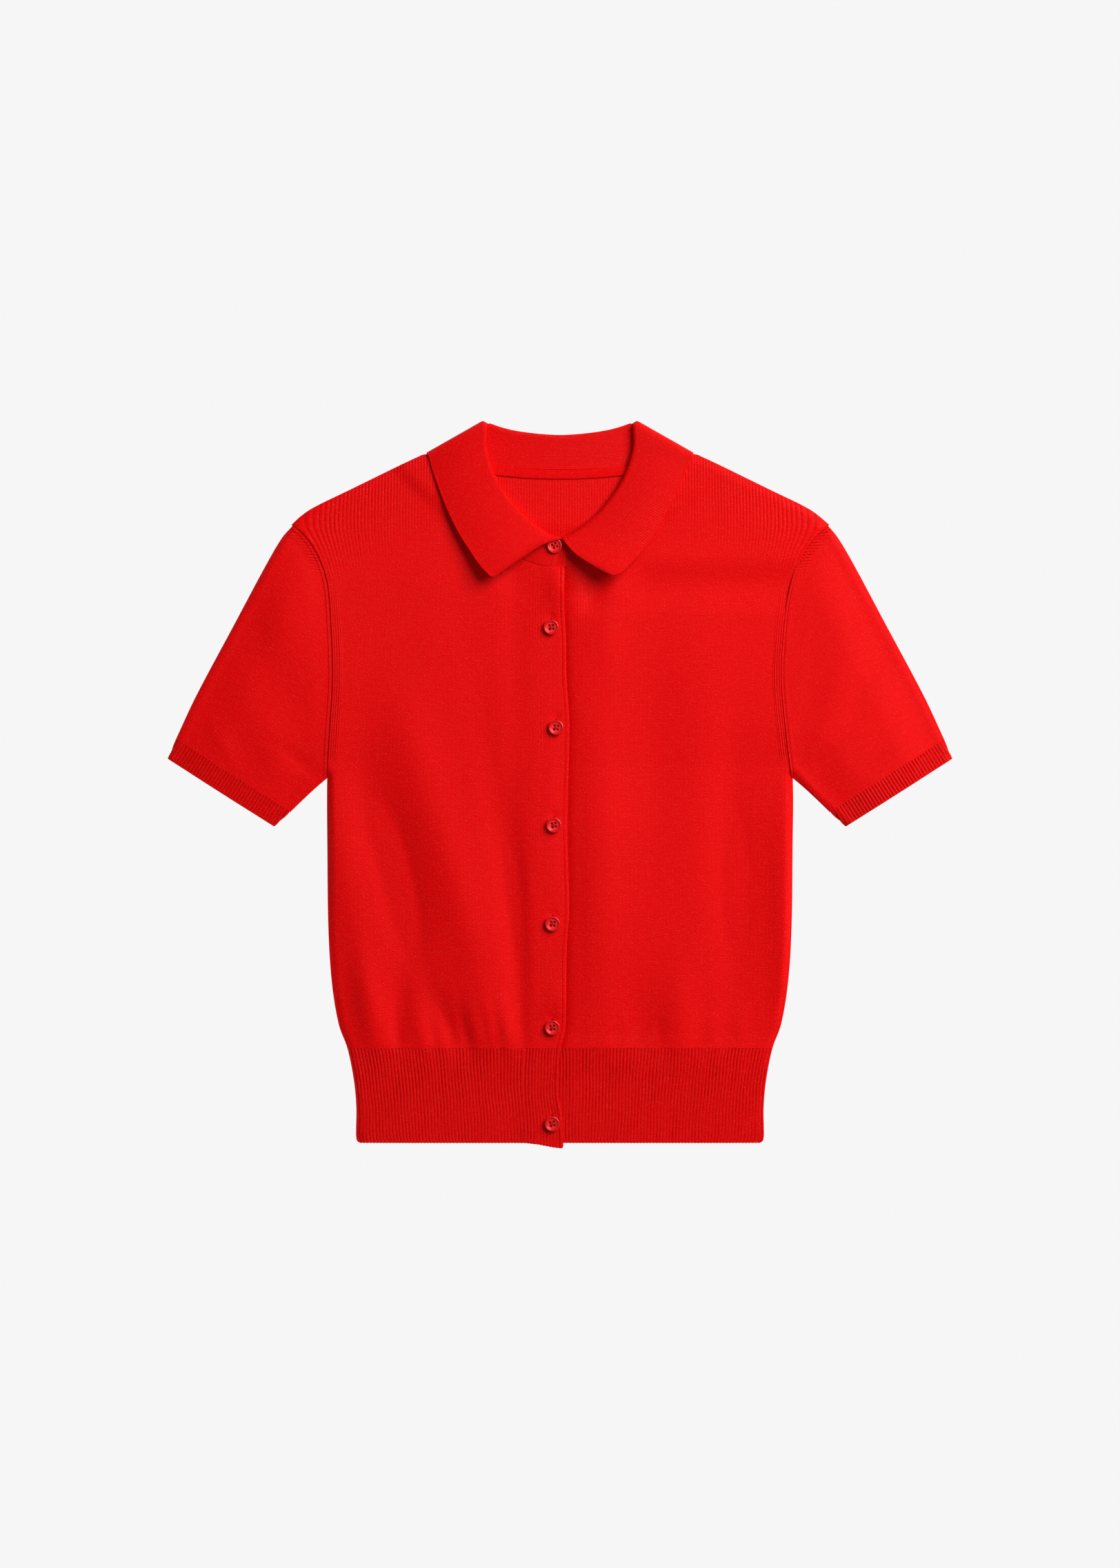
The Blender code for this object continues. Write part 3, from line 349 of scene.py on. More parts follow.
def from_centre(x, starts):
    return np.where(x < 0, ramp(-x, *starts[-1]), ramp(x, *starts[1]))


def folds(x, y):
    """Relief, faded out beside the buttoned edge so that the buttons stay level."""
    return (relief(x, y, FOLDS) + relief(x, y, CREASES)) * from_centre(x, FOLDS_START)


def puff(x, y):
    """More air in the cloth, away from the folded edges, the buttons, the rib and the collar."""
    edge = edge_distance(x, y)
    sleeve = ramp(np.abs(x), *SLEEVE_START)
    body = smooth(edge / PUFF_REACH) * from_centre(x, PUFF_START)
    body = body * ramp(np.hypot(x, (y - NECK_Y) * 0.8), *PUFF_NECK)
    body = body * (1 - 0.7 * ramp(y, *PUFF_SHOULDER)) * (0.45 + 0.55 * ramp(y, *PUFF_HEM))
    return PUFF * body * (1 - 0.4 * sleeve) + SLEEVE_DOME * sleeve * smooth(edge / SLEEVE_REACH)


def top_layer(x, y):
    """Underside of the cloth that lies on the back."""
    calm = 0.25 + 0.75 * ramp(y, *CALM_HEM)
    rise = (LOFT + folds(x, y) * calm) * smooth(edge_distance(x, y) / LOFT_REACH)
    return back_lift(x, y) + LAYER + np.maximum(0.0, rise + puff(x, y))


def height_back(x, y):
    return back_lift(x, y) + WALL / 2 + relief(x, y, BACK_TROUGHS)


def past_placket(x, y):
    """How far a place is beyond the right front's buttoned edge."""
    return x - np.interp(y, *np.array(PLACKET)[2:, ::-1].T)


def height_left(x, y):
    """The left front lies lower from the right one's edge outwards, and swells beside it."""
    out = past_placket(x, y)
    sunk = np.interp(y, *np.array(EDGE_SINK).T) * ramp(out, *SINK_START)
    under = relief(x, y, STRIP) * STRIP_UNDER * smooth(-out / 3.0)
    out = np.maximum(out, 0.0)
    swell = sum(rise * (1 - np.exp(-out / reach)) for rise, reach in SWELLS)
    swell = swell * np.exp(-(out / SWELL_END) ** 2) * (0.25 + 0.75 * ramp(y, *CALM_SWELL))
    level = (swell - sunk) * smooth((SINK_STOP - y) / SINK_FADE)
    return top_layer(x, y) + level + under + WALL / 2


def height_right(x, y):
    """The right front climbs over the left one, dips over each button and droops to its edge."""
    above, length, width, rise = DIMPLE
    dimples = [(across, up + above, length, width, rise, 0) for across, up, _ in BUTTONS[1:]]
    depth, middle, half = DROOP
    droop = depth * ramp(past_placket(x, y), *DROOP_START) * np.exp(-((y - middle) / half) ** 2)
    return (top_layer(x, y) + LAYER * ramp(x, *STEP_START) + relief(x, y, dimples)
            + relief(x, y, STRIP) - droop + WALL / 2)


BUTTON_CLOTH = 2 * LAYER + LOFT + WALL      # top of the right front beside the buttons
UNDER_CLOTH = LAYER + LOFT + WALL           # top of the left front under it


# ------------------------------------------------------------------ grids and shells

EDGE_STEPS = (0.0, 0.07, 0.22, 0.45, 0.78)   # closer steps over a rounded edge
SIDE_STEPS = EDGE_STEPS + (1.3, 2.0, 2.8, 3.7, 4.7, 5.9)    # and over a folded side


def spaced(length, step, low=EDGE_STEPS, high=EDGE_STEPS):
    """Distances along a length: even steps, with given ones near each end."""
    inner = np.linspace(0.0, length, max(2, int(round(length / step)) + 1))
    low, high = np.array(low), length - np.array(high)
    inner = inner[(inner > low[-1] + step * 0.3) & (inner < high[-1] - step * 0.3)]
    return np.concatenate((low, inner, high[::-1]))


def unit(vectors):
    return vectors / np.maximum(np.linalg.norm(vectors, axis=-1, keepdims=True), 1e-9)


def stacked(*values):
    """Values side by side along a new last axis."""
    return np.stack(np.broadcast_arrays(*values), -1)


def slope(grid, axis, closed=False):
    if closed:
        return np.roll(grid, -1, axis) - np.roll(grid, 1, axis)
    return np.gradient(grid, axis=axis)


def runs(grid, axis):
    """Distance along a grid's lines from their start, and from their end."""
    steps = np.linalg.norm(np.diff(grid, axis=axis), axis=-1)
    zero = np.zeros_like(np.take(steps, [0], axis))
    run = np.concatenate((zero, np.cumsum(steps, axis=axis)), axis=axis)
    return run, np.take(run, [-1], axis) - run


def rounding(grid, sides, radius):
    """Half thickness of a shell, rounded off towards the named sides of its grid.

    S and N are its first and last rows, W and E its first and last columns.
    """
    up, down = runs(grid, 0)
    right, left = runs(grid, 1)
    nearest = np.full(grid.shape[:2], radius)
    for side, distance in zip("SNWE", (up, down, right, left)):
        if side in sides:
            nearest = np.minimum(nearest, distance)
    return radius * np.sqrt(np.maximum(0.03, 1 - (1 - nearest / radius) ** 2))


def grid_faces(rows, columns, closed, start, flip):
    index = np.arange(rows * columns).reshape(rows, columns) + start
    after = np.roll(index, -1, 1) if closed else index[:, 1:]
    before = index if closed else index[:, :-1]
    corners = (before[:-1], after[:-1], after[1:], before[1:])
    faces = np.stack(corners, -1).reshape(-1, 4)
    return faces[:, ::-1] if flip else faces


def rim_faces(rows, columns, closed, offset, flip):
    """Faces that close a shell round its open sides."""
    index = np.arange(rows * columns).reshape(rows, columns)
    if closed:
        loops = [np.append(index[0], index[0, 0]), np.append(index[-1], index[-1, 0])[::-1]]
    else:
        loops = [np.concatenate((index[0], index[1:, -1], index[-1, -2::-1], index[-2::-1, 0]))]
    faces = np.concatenate([np.stack((loop[1:], loop[:-1], loop[:-1] + offset,
                                      loop[1:] + offset), -1) for loop in loops])
    return faces[:, ::-1] if flip else faces


def shell(middle, fabric, form, sides="SNWE", carve=0.0, wall=WALL, closed=False, kept=False):
    """Vertices, faces and cloth coordinates of a closed sheet round a grid of middle points.

    `fabric` holds the distances across and along the wales, `form` a distance from a seam or
    edge and the strength of the ribs. `carve` is cut out of the outer face, which looks up or,
    on a closed tube, away from its middle; `kept` leaves it on the side that the grid gives.
    """
    rows, columns = middle.shape[:2]
    across, along = slope(middle, 1, closed), slope(middle, 0)
    normal = unit(np.cross(across, along))
    outward = middle - middle.mean(axis=1, keepdims=True) if closed else np.array((0, 0, 1))
    flip = not kept and (normal * outward).sum() < 0
    if flip:
        normal = -normal
    half = rounding(middle, sides, wall / 2)
    if np.ndim(carve):
        carve = np.minimum(carve, half * 1.7)
    outer = middle + normal * (half - carve)[..., None]
    inner = middle - normal * half[..., None]
    vertices = np.concatenate((outer.reshape(-1, 3), inner.reshape(-1, 3)))
    count = rows * columns
    faces = np.concatenate((grid_faces(rows, columns, closed, 0, flip),
                            grid_faces(rows, columns, closed, count, not flip),
                            rim_faces(rows, columns, closed, count, flip)))
    cloth = np.concatenate([np.broadcast_to(part, (rows, columns, 2)).reshape(-1, 2)
                            for part in (fabric, form)], 1)
    return vertices, faces, np.concatenate((cloth, cloth))


def joined(shells):
    """Several shells as one."""
    points, faces, cloth = zip(*shells)
    starts = np.cumsum([0] + [len(part) for part in points[:-1]])
    faces = [part + start for part, start in zip(faces, starts)]
    return np.concatenate(points), np.concatenate(faces), np.concatenate(cloth)


def smoothed(mesh, sharp_angle):
    """The mesh shaded smooth, apart from edges sharper than an angle in degrees."""
    mesh.shade_smooth()
    mesh.set_sharp_from_angle(angle=math.radians(sharp_angle))
    return mesh


def mesh_from(name, vertices, faces, cloth):
    mesh = bpy.data.meshes.new(name)
    mesh.vertices.add(len(vertices))
    mesh.vertices.foreach_set("co", np.asarray(vertices, np.float32).ravel())
    mesh.loops.add(faces.size)
    mesh.loops.foreach_set("vertex_index", faces.astype(np.int32).ravel())
    mesh.polygons.add(len(faces))
    mesh.polygons.foreach_set("loop_start", np.arange(0, faces.size, 4, dtype=np.int32))
    mesh.update(calc_edges=True)
    mesh.validate()
    corner = faces.ravel()
    for layer, columns in (("Fabric", slice(0, 2)), ("Form", slice(2, 4))):
        uv = mesh.uv_layers.new(name=layer)
        uv.uv.foreach_set("vector", (cloth[corner, columns] * 0.01).astype(np.float32).ravel())
    return smoothed(mesh, 50)


def placed(name, data, place=(0.0, 0.0, 0.0), turn=(0.0, 0.0, 0.0)):
    obj = bpy.data.objects.new(name, data)
    obj.location = place
    obj.rotation_euler = turn
    bpy.context.scene.collection.objects.link(obj)
    return obj


def add_piece(name, mesh, material, slot, node, *place):
    mesh.materials.append(material)
    obj = placed(name, mesh, *place)
    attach(obj, "root")
    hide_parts(node)
    return obj


# ------------------------------------------------------------------ materials

class Field:
    """A value in a material's node tree, with ordinary arithmetic."""

    def __init__(self, tree, socket):
        self.tree, self.socket = tree, socket

    def math(self, operation, *others):
        node = self.tree.nodes.new("ShaderNodeMath")
        node.operation = operation
        for slot, value in zip(node.inputs, (self,) + others):
            wire(self.tree, value, slot)
        return Field(self.tree, node.outputs[0])

    def rest(self):
        return self * -1.0 + 1.0

    def rounds(self, pitch):
        """Round ridges with narrow channels between them."""
        return (self * (math.pi / pitch)).sine().abs()

    def between(self, low, high, first=0.0, last=1.0):
        node = self.tree.nodes.new("ShaderNodeMapRange")
        node.interpolation_type = "SMOOTHSTEP"
        for key, value in zip(("Value", "From Min", "From Max", "To Min", "To Max"),
                              (self, low, high, first, last)):
            wire(self.tree, value, node.inputs[key])
        return Field(self.tree, node.outputs["Result"])


for method, operation in (("__add__", "ADD"), ("__sub__", "SUBTRACT"), ("__mul__", "MULTIPLY"),
                          ("__truediv__", "DIVIDE"), ("power", "POWER"), ("fract", "FRACT"),
                          ("abs", "ABSOLUTE"), ("sine", "SINE")):
    setattr(Field, method, partialmethod(Field.math, operation))


def wire(tree, value, slot):
    """Give a node's slot a plain value, a plain colour or the value of a Field."""
    if isinstance(value, Field):
        tree.links.new(value.socket, slot)
    else:
        slot.default_value = (*value, 1.0) if isinstance(value, tuple) else value


class Surface:
    """A material under construction."""

    def __init__(self, name):
        self.material = bpy.data.materials.new(name)
        self.material.use_nodes = True
        self.tree = self.material.node_tree
        self.shader = self.tree.nodes["Principled BSDF"]

    def give(self, **values):
        """Set the shader's sockets by name, then hand the material over."""
        for key, value in values.items():
            wire(self.tree, value, self.shader.inputs[key.replace("_", " ")])
        return self.material

    def coordinates(self, kind, output, scale, count):
        node = self.tree.nodes.new(kind)
        split = self.tree.nodes.new("ShaderNodeSeparateXYZ")
        self.tree.links.new(node.outputs[output], split.inputs[0])
        return node, [Field(self.tree, split.outputs[axis]) * scale for axis in range(count)]

    def layer(self, name):
        """The two values of a UV layer, in millimetres."""
        node, values = self.coordinates("ShaderNodeUVMap", "UV", 100.0, 2)
        node.uv_map = name
        return values

    def position(self):
        return self.coordinates("ShaderNodeTexCoord", "Object", 1000.0, 3)[1]

    def noise(self, x, y, detail=2.0, roughness=0.5, z=0.0):
        vector = self.tree.nodes.new("ShaderNodeCombineXYZ")
        for slot, value in zip(vector.inputs, (x, y, z)):
            wire(self.tree, value, slot)
        node = self.tree.nodes.new("ShaderNodeTexNoise")
        for key, value in (("Scale", 1.0), ("Detail", detail), ("Roughness", roughness),
                           ("Vector", Field(self.tree, vector.outputs[0]))):
            wire(self.tree, value, node.inputs[key])
        return Field(self.tree, node.outputs["Fac"])

    def mix(self, factor, first, second):
        """A colour between two."""
        node = self.tree.nodes.new("ShaderNodeMix")
        node.data_type = "RGBA"
        for slot, value in zip((0, 6, 7), (factor, first, second)):
            wire(self.tree, value, node.inputs[slot])
        return Field(self.tree, node.outputs[2])

    def bump(self, height, depth):
        """Relief; height 1 stands `depth` millimetres proud of height 0."""
        node = self.tree.nodes.new("ShaderNodeBump")
        for key, value in (("Strength", 1.0), ("Distance", depth * MM), ("Height", height)):
            wire(self.tree, value, node.inputs[key])
        self.tree.links.new(node.outputs["Normal"], self.shader.inputs["Normal"])


YARN_DARK = (0.46, 0.0002, 0.0004)
YARN_LIGHT = (0.97, 0.0006, 0.0014)
YARN_FIBRE_AND_SHEEN = (0.97, 0.047, 0.044)    # loose pale fibre, partly painted sheen of fuzz catching the light


class Knit(Surface):
    """Red knitting: uneven yarn, single stitches and loose pale fibre, partly painted sheen."""

    def __init__(self, name, wale=WALE, course=COURSE, sideways=False):
        super().__init__(name)
        u, v = self.u, self.v = self.layer("Fabric")
        self.form = self.layer("Form")
        self.jersey = self.stitches(*((v, u) if sideways else (u, v)), wale, course)
        tufts = self.noise(u / 1.9, v / 1.3, 3.0, 0.75)
        self.fuzz = tufts * 0.75 + self.noise(u / 9.0, v / 0.9, 2.0, 0.6) * 0.25

    def stitches(self, u, v, wale, course):
        """Height of plain knitting, 0..1: two slanting legs in each wale."""
        across = ((u / wale).fract() - 0.5).abs()
        leg = across * 4 - 1
        along = (v / course + across * 1.5) * (2 * math.pi)
        return (leg * leg).rest() * (along.sine() * 0.3 + 0.7)

    def finish(self, height, depth, tone, roughness):
        """Add the yarn's own unevenness to the tone: mottle, streaks along the courses, flecks;
        then sprinkle pale fibre over it, partly painted sheen.
        """
        u, v = self.u, self.v
        self.bump(height, depth)
        mottle = self.noise(u / 46, v / 46, 3.0) - 0.5
        streak = self.noise(u / 26, v / 1.25, 3.0, 0.7) - 0.5
        grain = self.noise(u / 0.95, v / 0.8, 2.0, 0.6) - 0.5
        fleck = self.noise(u / 1.5, v / 1.1, 1.0).between(0.66, 0.78)
        tone = tone + mottle * 0.12 + streak * 0.26 + grain * 0.34 + fleck * 0.22
        red = self.mix(tone + self.fuzz * 0.3, YARN_DARK, YARN_LIGHT)
        # pale fibre specks: partly loose fibre, partly painted sheen of fuzz catching the light
        specks = self.noise(u / 1.2, v / 0.9, 3.0, 0.7).between(0.50, 0.78)
        fibres_and_sheen = specks * self.noise(u / 6.0, v / 3.0, 2.0).between(0.3, 0.75, 0.2, 1.0)
        return self.give(Base_Color=self.mix(fibres_and_sheen, red, YARN_FIBRE_AND_SHEEN), Roughness=roughness,
                         Sheen_Weight=0.015, Sheen_Roughness=0.5, Sheen_Tint=(1.0, 0.3, 0.25),
                         Specular_IOR_Level=0.06)


def body_knit():
    """Jersey that turns into ribs towards the shoulder, with raised wales beside the armhole, and
    painted shade: darker in the channels between ribs and wales, along the armhole seam and between
    the stitches.
    """
    knit = Knit("red jersey")
    u, v, jersey, fuzz = knit.u, knit.v, knit.jersey, knit.fuzz
    seam, rib = knit.form
    band = seam.between(8.4, 7.2) * v.between(476.0, 366.0) * v.between(296.0, 306.0)
    ridges, ribs = seam.rounds(BAND_PITCH), u.rounds(SHOULDER_PITCH)
    height = (jersey * (band * -0.5 + 1.0) * (rib * -0.4 + 1.0) * 0.26 + fuzz * 1.6
              + ribs * rib * 0.9 + ridges * band * 1.2)
    # painted shade: darker in the channels between the shoulder ribs and between the raised wales
    painted_channel_shade = ribs.rest().power(2.0) * rib + ridges.rest().power(2.0) * band * 0.8
    # painted shade: a darker strip along the armhole seam
    line = seam.between(2.2, 0.3) * 0.17
    # stitch tops painted lighter than the gaps between them: painted shade
    return knit.finish(height, 0.30, jersey * 0.06 + 0.57 - painted_channel_shade * 0.25 - line,
                       fuzz * 0.2 + 0.36)


def sleeve_knit():
    """Jersey down the arm, with a raised edge beside the armhole and short ribs at its top, and
    painted shade in the ribs' channels and between the stitches.
    """
    knit = Knit("red sleeve jersey")
    u, v, jersey, fuzz = knit.u, knit.v, knit.jersey, knit.fuzz
    seam, cap = knit.form
    selvage = seam.between(0.4, 1.2) * seam.between(2.9, 2.3)
    row = (seam - 2.7).abs().between(0.6, 0.15)
    ribs = (u * 0.5 + v * 0.9).rounds(2.4)
    height = (jersey * 0.26 + fuzz * 1.6 + selvage * 1.1 + v.rounds(1.3) * row * 0.6
              + ribs * cap * 1.1)
    # painted shade: stitch tops lighter, channels between the short ribs darker
    tone = jersey * 0.06 + 0.57 - row * 0.10 - ribs.rest().power(2.0) * cap * 0.20
    return knit.finish(height, 0.30, tone, fuzz * 0.2 + 0.36)


def rib_knit():
    """Ribs that are already in the form: single stitches on them, and painted shade in the channels
    and between the stitches.
    """
    knit = Knit("red hem rib", HEM_PITCH / 2)
    jersey, fuzz = knit.jersey, knit.fuzz
    edge, strength = knit.form
    ribs = knit.u.rounds(HEM_PITCH)
    height = jersey * 0.5 + fuzz * 2.0 + ribs * strength * 0.5
    # painted shade: stitch tops lighter, channels between the ribs darker
    tone = jersey * 0.08 + 0.47 - ribs.rest().power(1.8) * strength * 0.60
    return knit.finish(height, 0.16, tone + edge.between(1.6, 0.2) * 0.06, fuzz * 0.2 + 0.40)


def collar_knit():
    """Fine ribs across the collar, a flat band along its front edges and ticks on its selvage, with
    painted shade in the rib channels, in the groove beside the band and between the stitches, and
    painted highlight on the ticks and along the selvage.
    """
    knit = Knit("red collar rib", COLLAR_PITCH / 2, 0.9)
    u, jersey, fuzz = knit.u, knit.jersey, knit.fuzz
    selvage, front = knit.form
    band = front.between(3.6, 3.0)
    fall = selvage.between(52.0, 46.0)
    ribs = (u.rounds(COLLAR_PITCH) * band.rest() * (fall * 0.6 + 0.4)
            + front.rounds(1.7) * band)
    grid = knit.v.rounds(1.7) * fall.rest()
    tick = (u + selvage * 0.7).rounds(1.5).power(2.0) * selvage.between(1.7, 1.1)
    line = (front - 3.4).abs().between(0.7, 0.2)
    height = jersey * 0.36 + fuzz * 1.5 + ribs * 0.6 + grid * 0.2 + tick * 0.6 - line * 0.35
    # painted shade in the rib channels and the groove, painted highlight on the stitch tops, ticks
    # and selvage
    tone = (jersey * 0.08 + 0.57 - ribs.rest().power(2.0) * fall * 0.11 + tick * 0.06
            + selvage.between(1.8, 0.5) * 0.12 - line * 0.07)
    return knit.finish(height, 0.26, tone, fuzz * 0.2 + 0.36)


def tape_knit():
    knit = Knit("red neck tape", 1.1, 1.2, sideways=True)
    jersey = knit.jersey
    chain = (knit.u + (knit.v - 1.0).abs() * 0.6).rounds(1.3) * knit.form[0].between(2.0, 1.2)
    height = jersey * 0.6 + chain * 0.4 + knit.fuzz * 1.4
    # stitch tops painted lighter than the gaps between them: painted shade
    return knit.finish(height, 0.22, jersey * 0.06 + 0.62 - chain * 0.03, jersey * -0.1 + 0.9)


def button_plastic():
    """Glossy red casein, swirled and worn paler around the holes."""
    surface = Surface("red button")
    x, y, z = surface.position()
    swirl = surface.noise(x / 3.2, y / 1.6, 4.0, 0.6, z)
    fine = surface.noise(x / 0.4, y / 0.4, 2.0, 0.5, z)
    worn = ((x * x + y * y).power(0.5) - 3.0).abs().between(1.5, 0.2)
    tone = swirl * 0.35 + fine * 0.10 + worn * 0.40
    surface.bump(fine * 0.6 + swirl * 0.4, 0.01)
    return surface.give(Base_Color=surface.mix(tone, (0.66, 0.0010, 0.0020), (0.97, 0.006, 0.008)),
                        Roughness=worn * 0.25 + fine * 0.10 + 0.16, IOR=1.5)


def thread_cotton():
    surface = Surface("red thread")
    x, y, z = surface.position()
    twist = (x + y * 0.8 + z * 1.1).rounds(0.28)
    fuzz = surface.noise(x / 0.2, y / 0.2, 2.0, 0.6, z)
    # the raised twists painted lighter than the grooves between them: painted shade
    tone = twist * 0.5 + fuzz * 0.3
    surface.bump(twist + fuzz * 0.4, 0.05)
    return surface.give(Base_Color=surface.mix(tone, (0.42, 0.001, 0.003), (0.86, 0.006, 0.010)),
                        Roughness=fuzz * 0.2 + 0.65, Specular_IOR_Level=0.2)


# ------------------------------------------------------------------ body

PANEL_STEP = 2.4          # grid of a panel
RIB_STEP = HEM_PITCH / 6  # six columns to each rib
LEAN_REACH = 34.0         # how far the wales follow the armhole


def side_edge(side):
    """Side seam and armhole from the hem to the shoulder point, below and above the rib's top."""
    return split(Path(side_table(side, SIDE) + armhole(side)[1:]), RIB_TOP)


def placket_edge():
    rows = [row for row in PLACKET if row[1] < RIB_TOP] + [PLACKET_AT_RIB]
    rows += [row for row in PLACKET if row[1] > RIB_TOP]
    return split(Path(rows), RIB_TOP)


def patch(bottom, top, left, right, columns, rows):
    """A grid whose lines run from the bottom to the top between two edge paths.

    `columns` holds distances along the bottom, `rows` fractions of the edges.
    """
    bottom, top = np.array(bottom), np.array(top)
    run = np.concatenate(([0.0], np.cumsum(np.linalg.norm(np.diff(bottom, axis=0), axis=1))))
    stops = np.arange(len(run))
    index = np.interp(columns, run, stops)
    low, high = (np.stack([np.interp(index, stops, values) for values in points.T], -1)
                 for points in (bottom, top))
    share, v = (columns / columns[-1])[None, :, None], rows[:, None, None]
    grid = low * (1 - v) + high * v
    left_bend = left(rows)[:, None] - grid[:, :1]
    right_bend = right(rows)[:, None] - grid[:, -1:]
    return grid + left_bend * (1 - share) ** 4 + right_bend * share ** 4


def armhole_x(side, y):
    """How far out the armhole seam is at a height, straight on above the shoulder point."""
    line = Path(armhole(side))(np.linspace(0, 1, 60))
    reach = np.interp(y, line[:, 1], np.abs(line[:, 0]))
    return reach + np.clip(y - SHOULDER_Y, 0, 40) * 0.7


def seam_line(side):
    """The armhole seam as many short pieces, with its distance from the centre positive."""
    line = Path(armhole(side))(np.linspace(0, 1, 40))
    return list(np.abs(line))


# Beside some buttonholes the knitting is pulled into short ribs. Columns as for the folds
PULLS = ((-16.0, 409.0, 16.0, 8.0, 0.55, 0), (-14.0, 322.0, 20.0, 6.0, 0.5, 0),
         (-17.0, 240.0, 14.0, 6.0, 0.25, 0), (16.0, 420.0, 30.0, 7.0, 0.4, 0))
LEAN_START = (ARMHOLE[0][0], 60.0)    # the wales start to lean at this height, over this length
SHOULDER_RIBS = (71.0, 60.0)          # how far they run down, fading over this length
BACK_NECK_RIBS = (92.0, 22.0)         # and from the back neckline's middle
FAR = 60.0                            # distances in the form stop here


def body_cloth(points, side):
    """Cloth coordinates of a body panel: the wales stand upright and bend along the armhole.

    The form holds the distance to the armhole seam and the strength of the ribs.
    """
    x, y = points[..., 0], points[..., 1]
    sides = np.where(x < 0, -1, 1) if side == 0 else np.full(x.shape, side)
    reach = np.where(sides < 0, armhole_x(-1, y), armhole_x(1, y))
    near = np.exp(-np.maximum(0.0, reach - np.abs(x)) / LEAN_REACH)
    lean = (reach - 178.0) * near * ramp(y, *LEAN_START)
    seam = distance_to(seam_line(side or 1), np.abs(x), y)
    top = [np.array((ARMHOLE[-1][1], SHOULDER_Y))] + [np.array(row) for row in SHOULDER]
    shoulder = distance_to(top, np.abs(x), y)
    length, fade = SHOULDER_RIBS
    ribs = smooth((length - shoulder + 5 * np.sin(x * 0.31) + 3 * np.sin(x * 0.83)) / fade)
    if side:
        ribs = ribs + relief(x, y, PULLS)
    else:
        length, fade = BACK_NECK_RIBS
        neck = np.hypot(x, (y - 527.0) * 0.8)
        ribs = np.where(neck < length, 0.5 * smooth((length - neck) / fade), ribs)
    return (stacked(x - sides * lean, y),
            stacked(np.minimum(seam, FAR), np.minimum(ribs, 1.0)))


# Where a front's columns start on the hem rib: distances from the centre
FRONT_BOTTOM = (21.0, 28.0, 42.0, 56.0, 68.0, 78.0, 86.0, 92.0, 100.0, 104.0, 110.0, 122.0, 132.0,
                140.0, 152.0, 158.0, 162.5)
SHOULDER_STOPS = (103.0, 107.5, 115.0, 132.0, 150.0, 165.0, 187.0, 197.4, 204.6)
NECK_STOPS = [row[0] for row in COLLAR_FRONT_LEFT[2:]] + [90.0]
UNDER_STEPS = EDGE_STEPS + (3.0, 5.4, 7.8, 10.2, 12.6, 15.0) + tuple(np.arange(17.0, 38.0, 0.9))
PLACKET_STEPS = tuple(np.concatenate(((0, .07, .22, .45, .8), np.arange(1.1, 7.5, 0.36))))


def tubular_edge(x, y, path):
    """The turned edge of the buttoned front: a soft roll with a fine line along its inner side."""
    line = path(np.linspace(0, 1, 200))
    inside = np.interp(y, line[:, 1], line[:, 0]) - x
    roll = 0.22 * smooth(inside / 0.8) * smooth((3.5 - inside) / 1.2)
    groove = 0.16 * np.exp(-((inside - 3.3) / 0.42) ** 2)
    return roll - groove * (1.6 - smooth((y - 60.0) / 90.0) + 1.1 * smooth((y - 340.0) / 40.0))


def surface(flat, height, edge):
    """Middle points of a wall over a flat grid; `edge` is the buttoned edge if it has one."""
    x, y = flat[..., 0], flat[..., 1]
    level = height(x, y)
    if edge is not None:
        level = level + tubular_edge(x, y, edge)
    return np.concatenate((flat, level[..., None]), -1)


def panel(bottom, top, first, last, side, height, steps=(EDGE_STEPS, EDGE_STEPS), edge=None):
    """A panel above the hem rib, between two edge paths."""
    columns = spaced(abs(bottom[-1][0] - bottom[0][0]), PANEL_STEP, *steps)
    rows = spaced(last.length, PANEL_STEP, (0.0, 0.4)) / last.length
    flat = patch(bottom, top, first, last, columns, rows)
    return shell(surface(flat, height, edge), *body_cloth(flat, side), sides="NWE")


def front(side):
    outer = side_edge(side)[1]
    if side < 0:
        inner, near, steps, height = placket_edge()[1], (-6.0, -17.0), PLACKET_STEPS, height_right
    else:
        inner = Path([(UNDER_EDGE, RIB_TOP), (UNDER_EDGE, 453.0)])
        near, steps, height = (-6.0, 10.0), UNDER_STEPS, height_left
    bottom = [(x, RIB_TOP) for x in (inner(0)[0], *near, *(side * x for x in FRONT_BOTTOM))]
    angles = [math.degrees(math.asin(abs(x) / NECK_HALF)) for x in near]
    top = [neck_point(angle, math.copysign(1, x)) for angle, x in zip(angles, near)]
    top += [neck_point(angle, side) for angle in NECK_STOPS]
    top += [shoulder_point(x, side) for x in SHOULDER_STOPS]
    return panel(bottom + [outer(0)], [inner(1)] + top + [outer(1)], inner, outer, side, height,
                 (steps, SIDE_STEPS), inner if side < 0 else None)


# The back's columns start at these distances from the centre
BACK_BOTTOM = (27.0, 54.0, 75.0, 90.0, 100.0, 104.0, 110.0, 122.0, 132.0, 140.0, 152.0, 158.0,
               162.5)
# Back neckline. Columns: distance from the centre, height
BACK_NECK = ((25.0, 527.0), (51.0, 529.2), (69.0, 533.6))
BACK_NECK_MIDDLE = 526.4


def both_sides(middle, half):
    """Points on the wearer's right, in the middle and on the left."""
    return [(-x, y) for x, y in reversed(half)] + [(0.0, middle)] + half


def back():
    right, left = side_edge(-1)[1], side_edge(1)[1]
    bottom = both_sides(RIB_TOP, [(x, RIB_TOP) for x in BACK_BOTTOM] + [tuple(left(0))])
    top = both_sides(BACK_NECK_MIDDLE, list(BACK_NECK) + [(NECK_HALF, NECK_Y)]
                     + [shoulder_point(x, 1) for x in SHOULDER_STOPS])
    return panel(bottom, [right(1)] + top + [left(1)], right, left, 0, height_back)


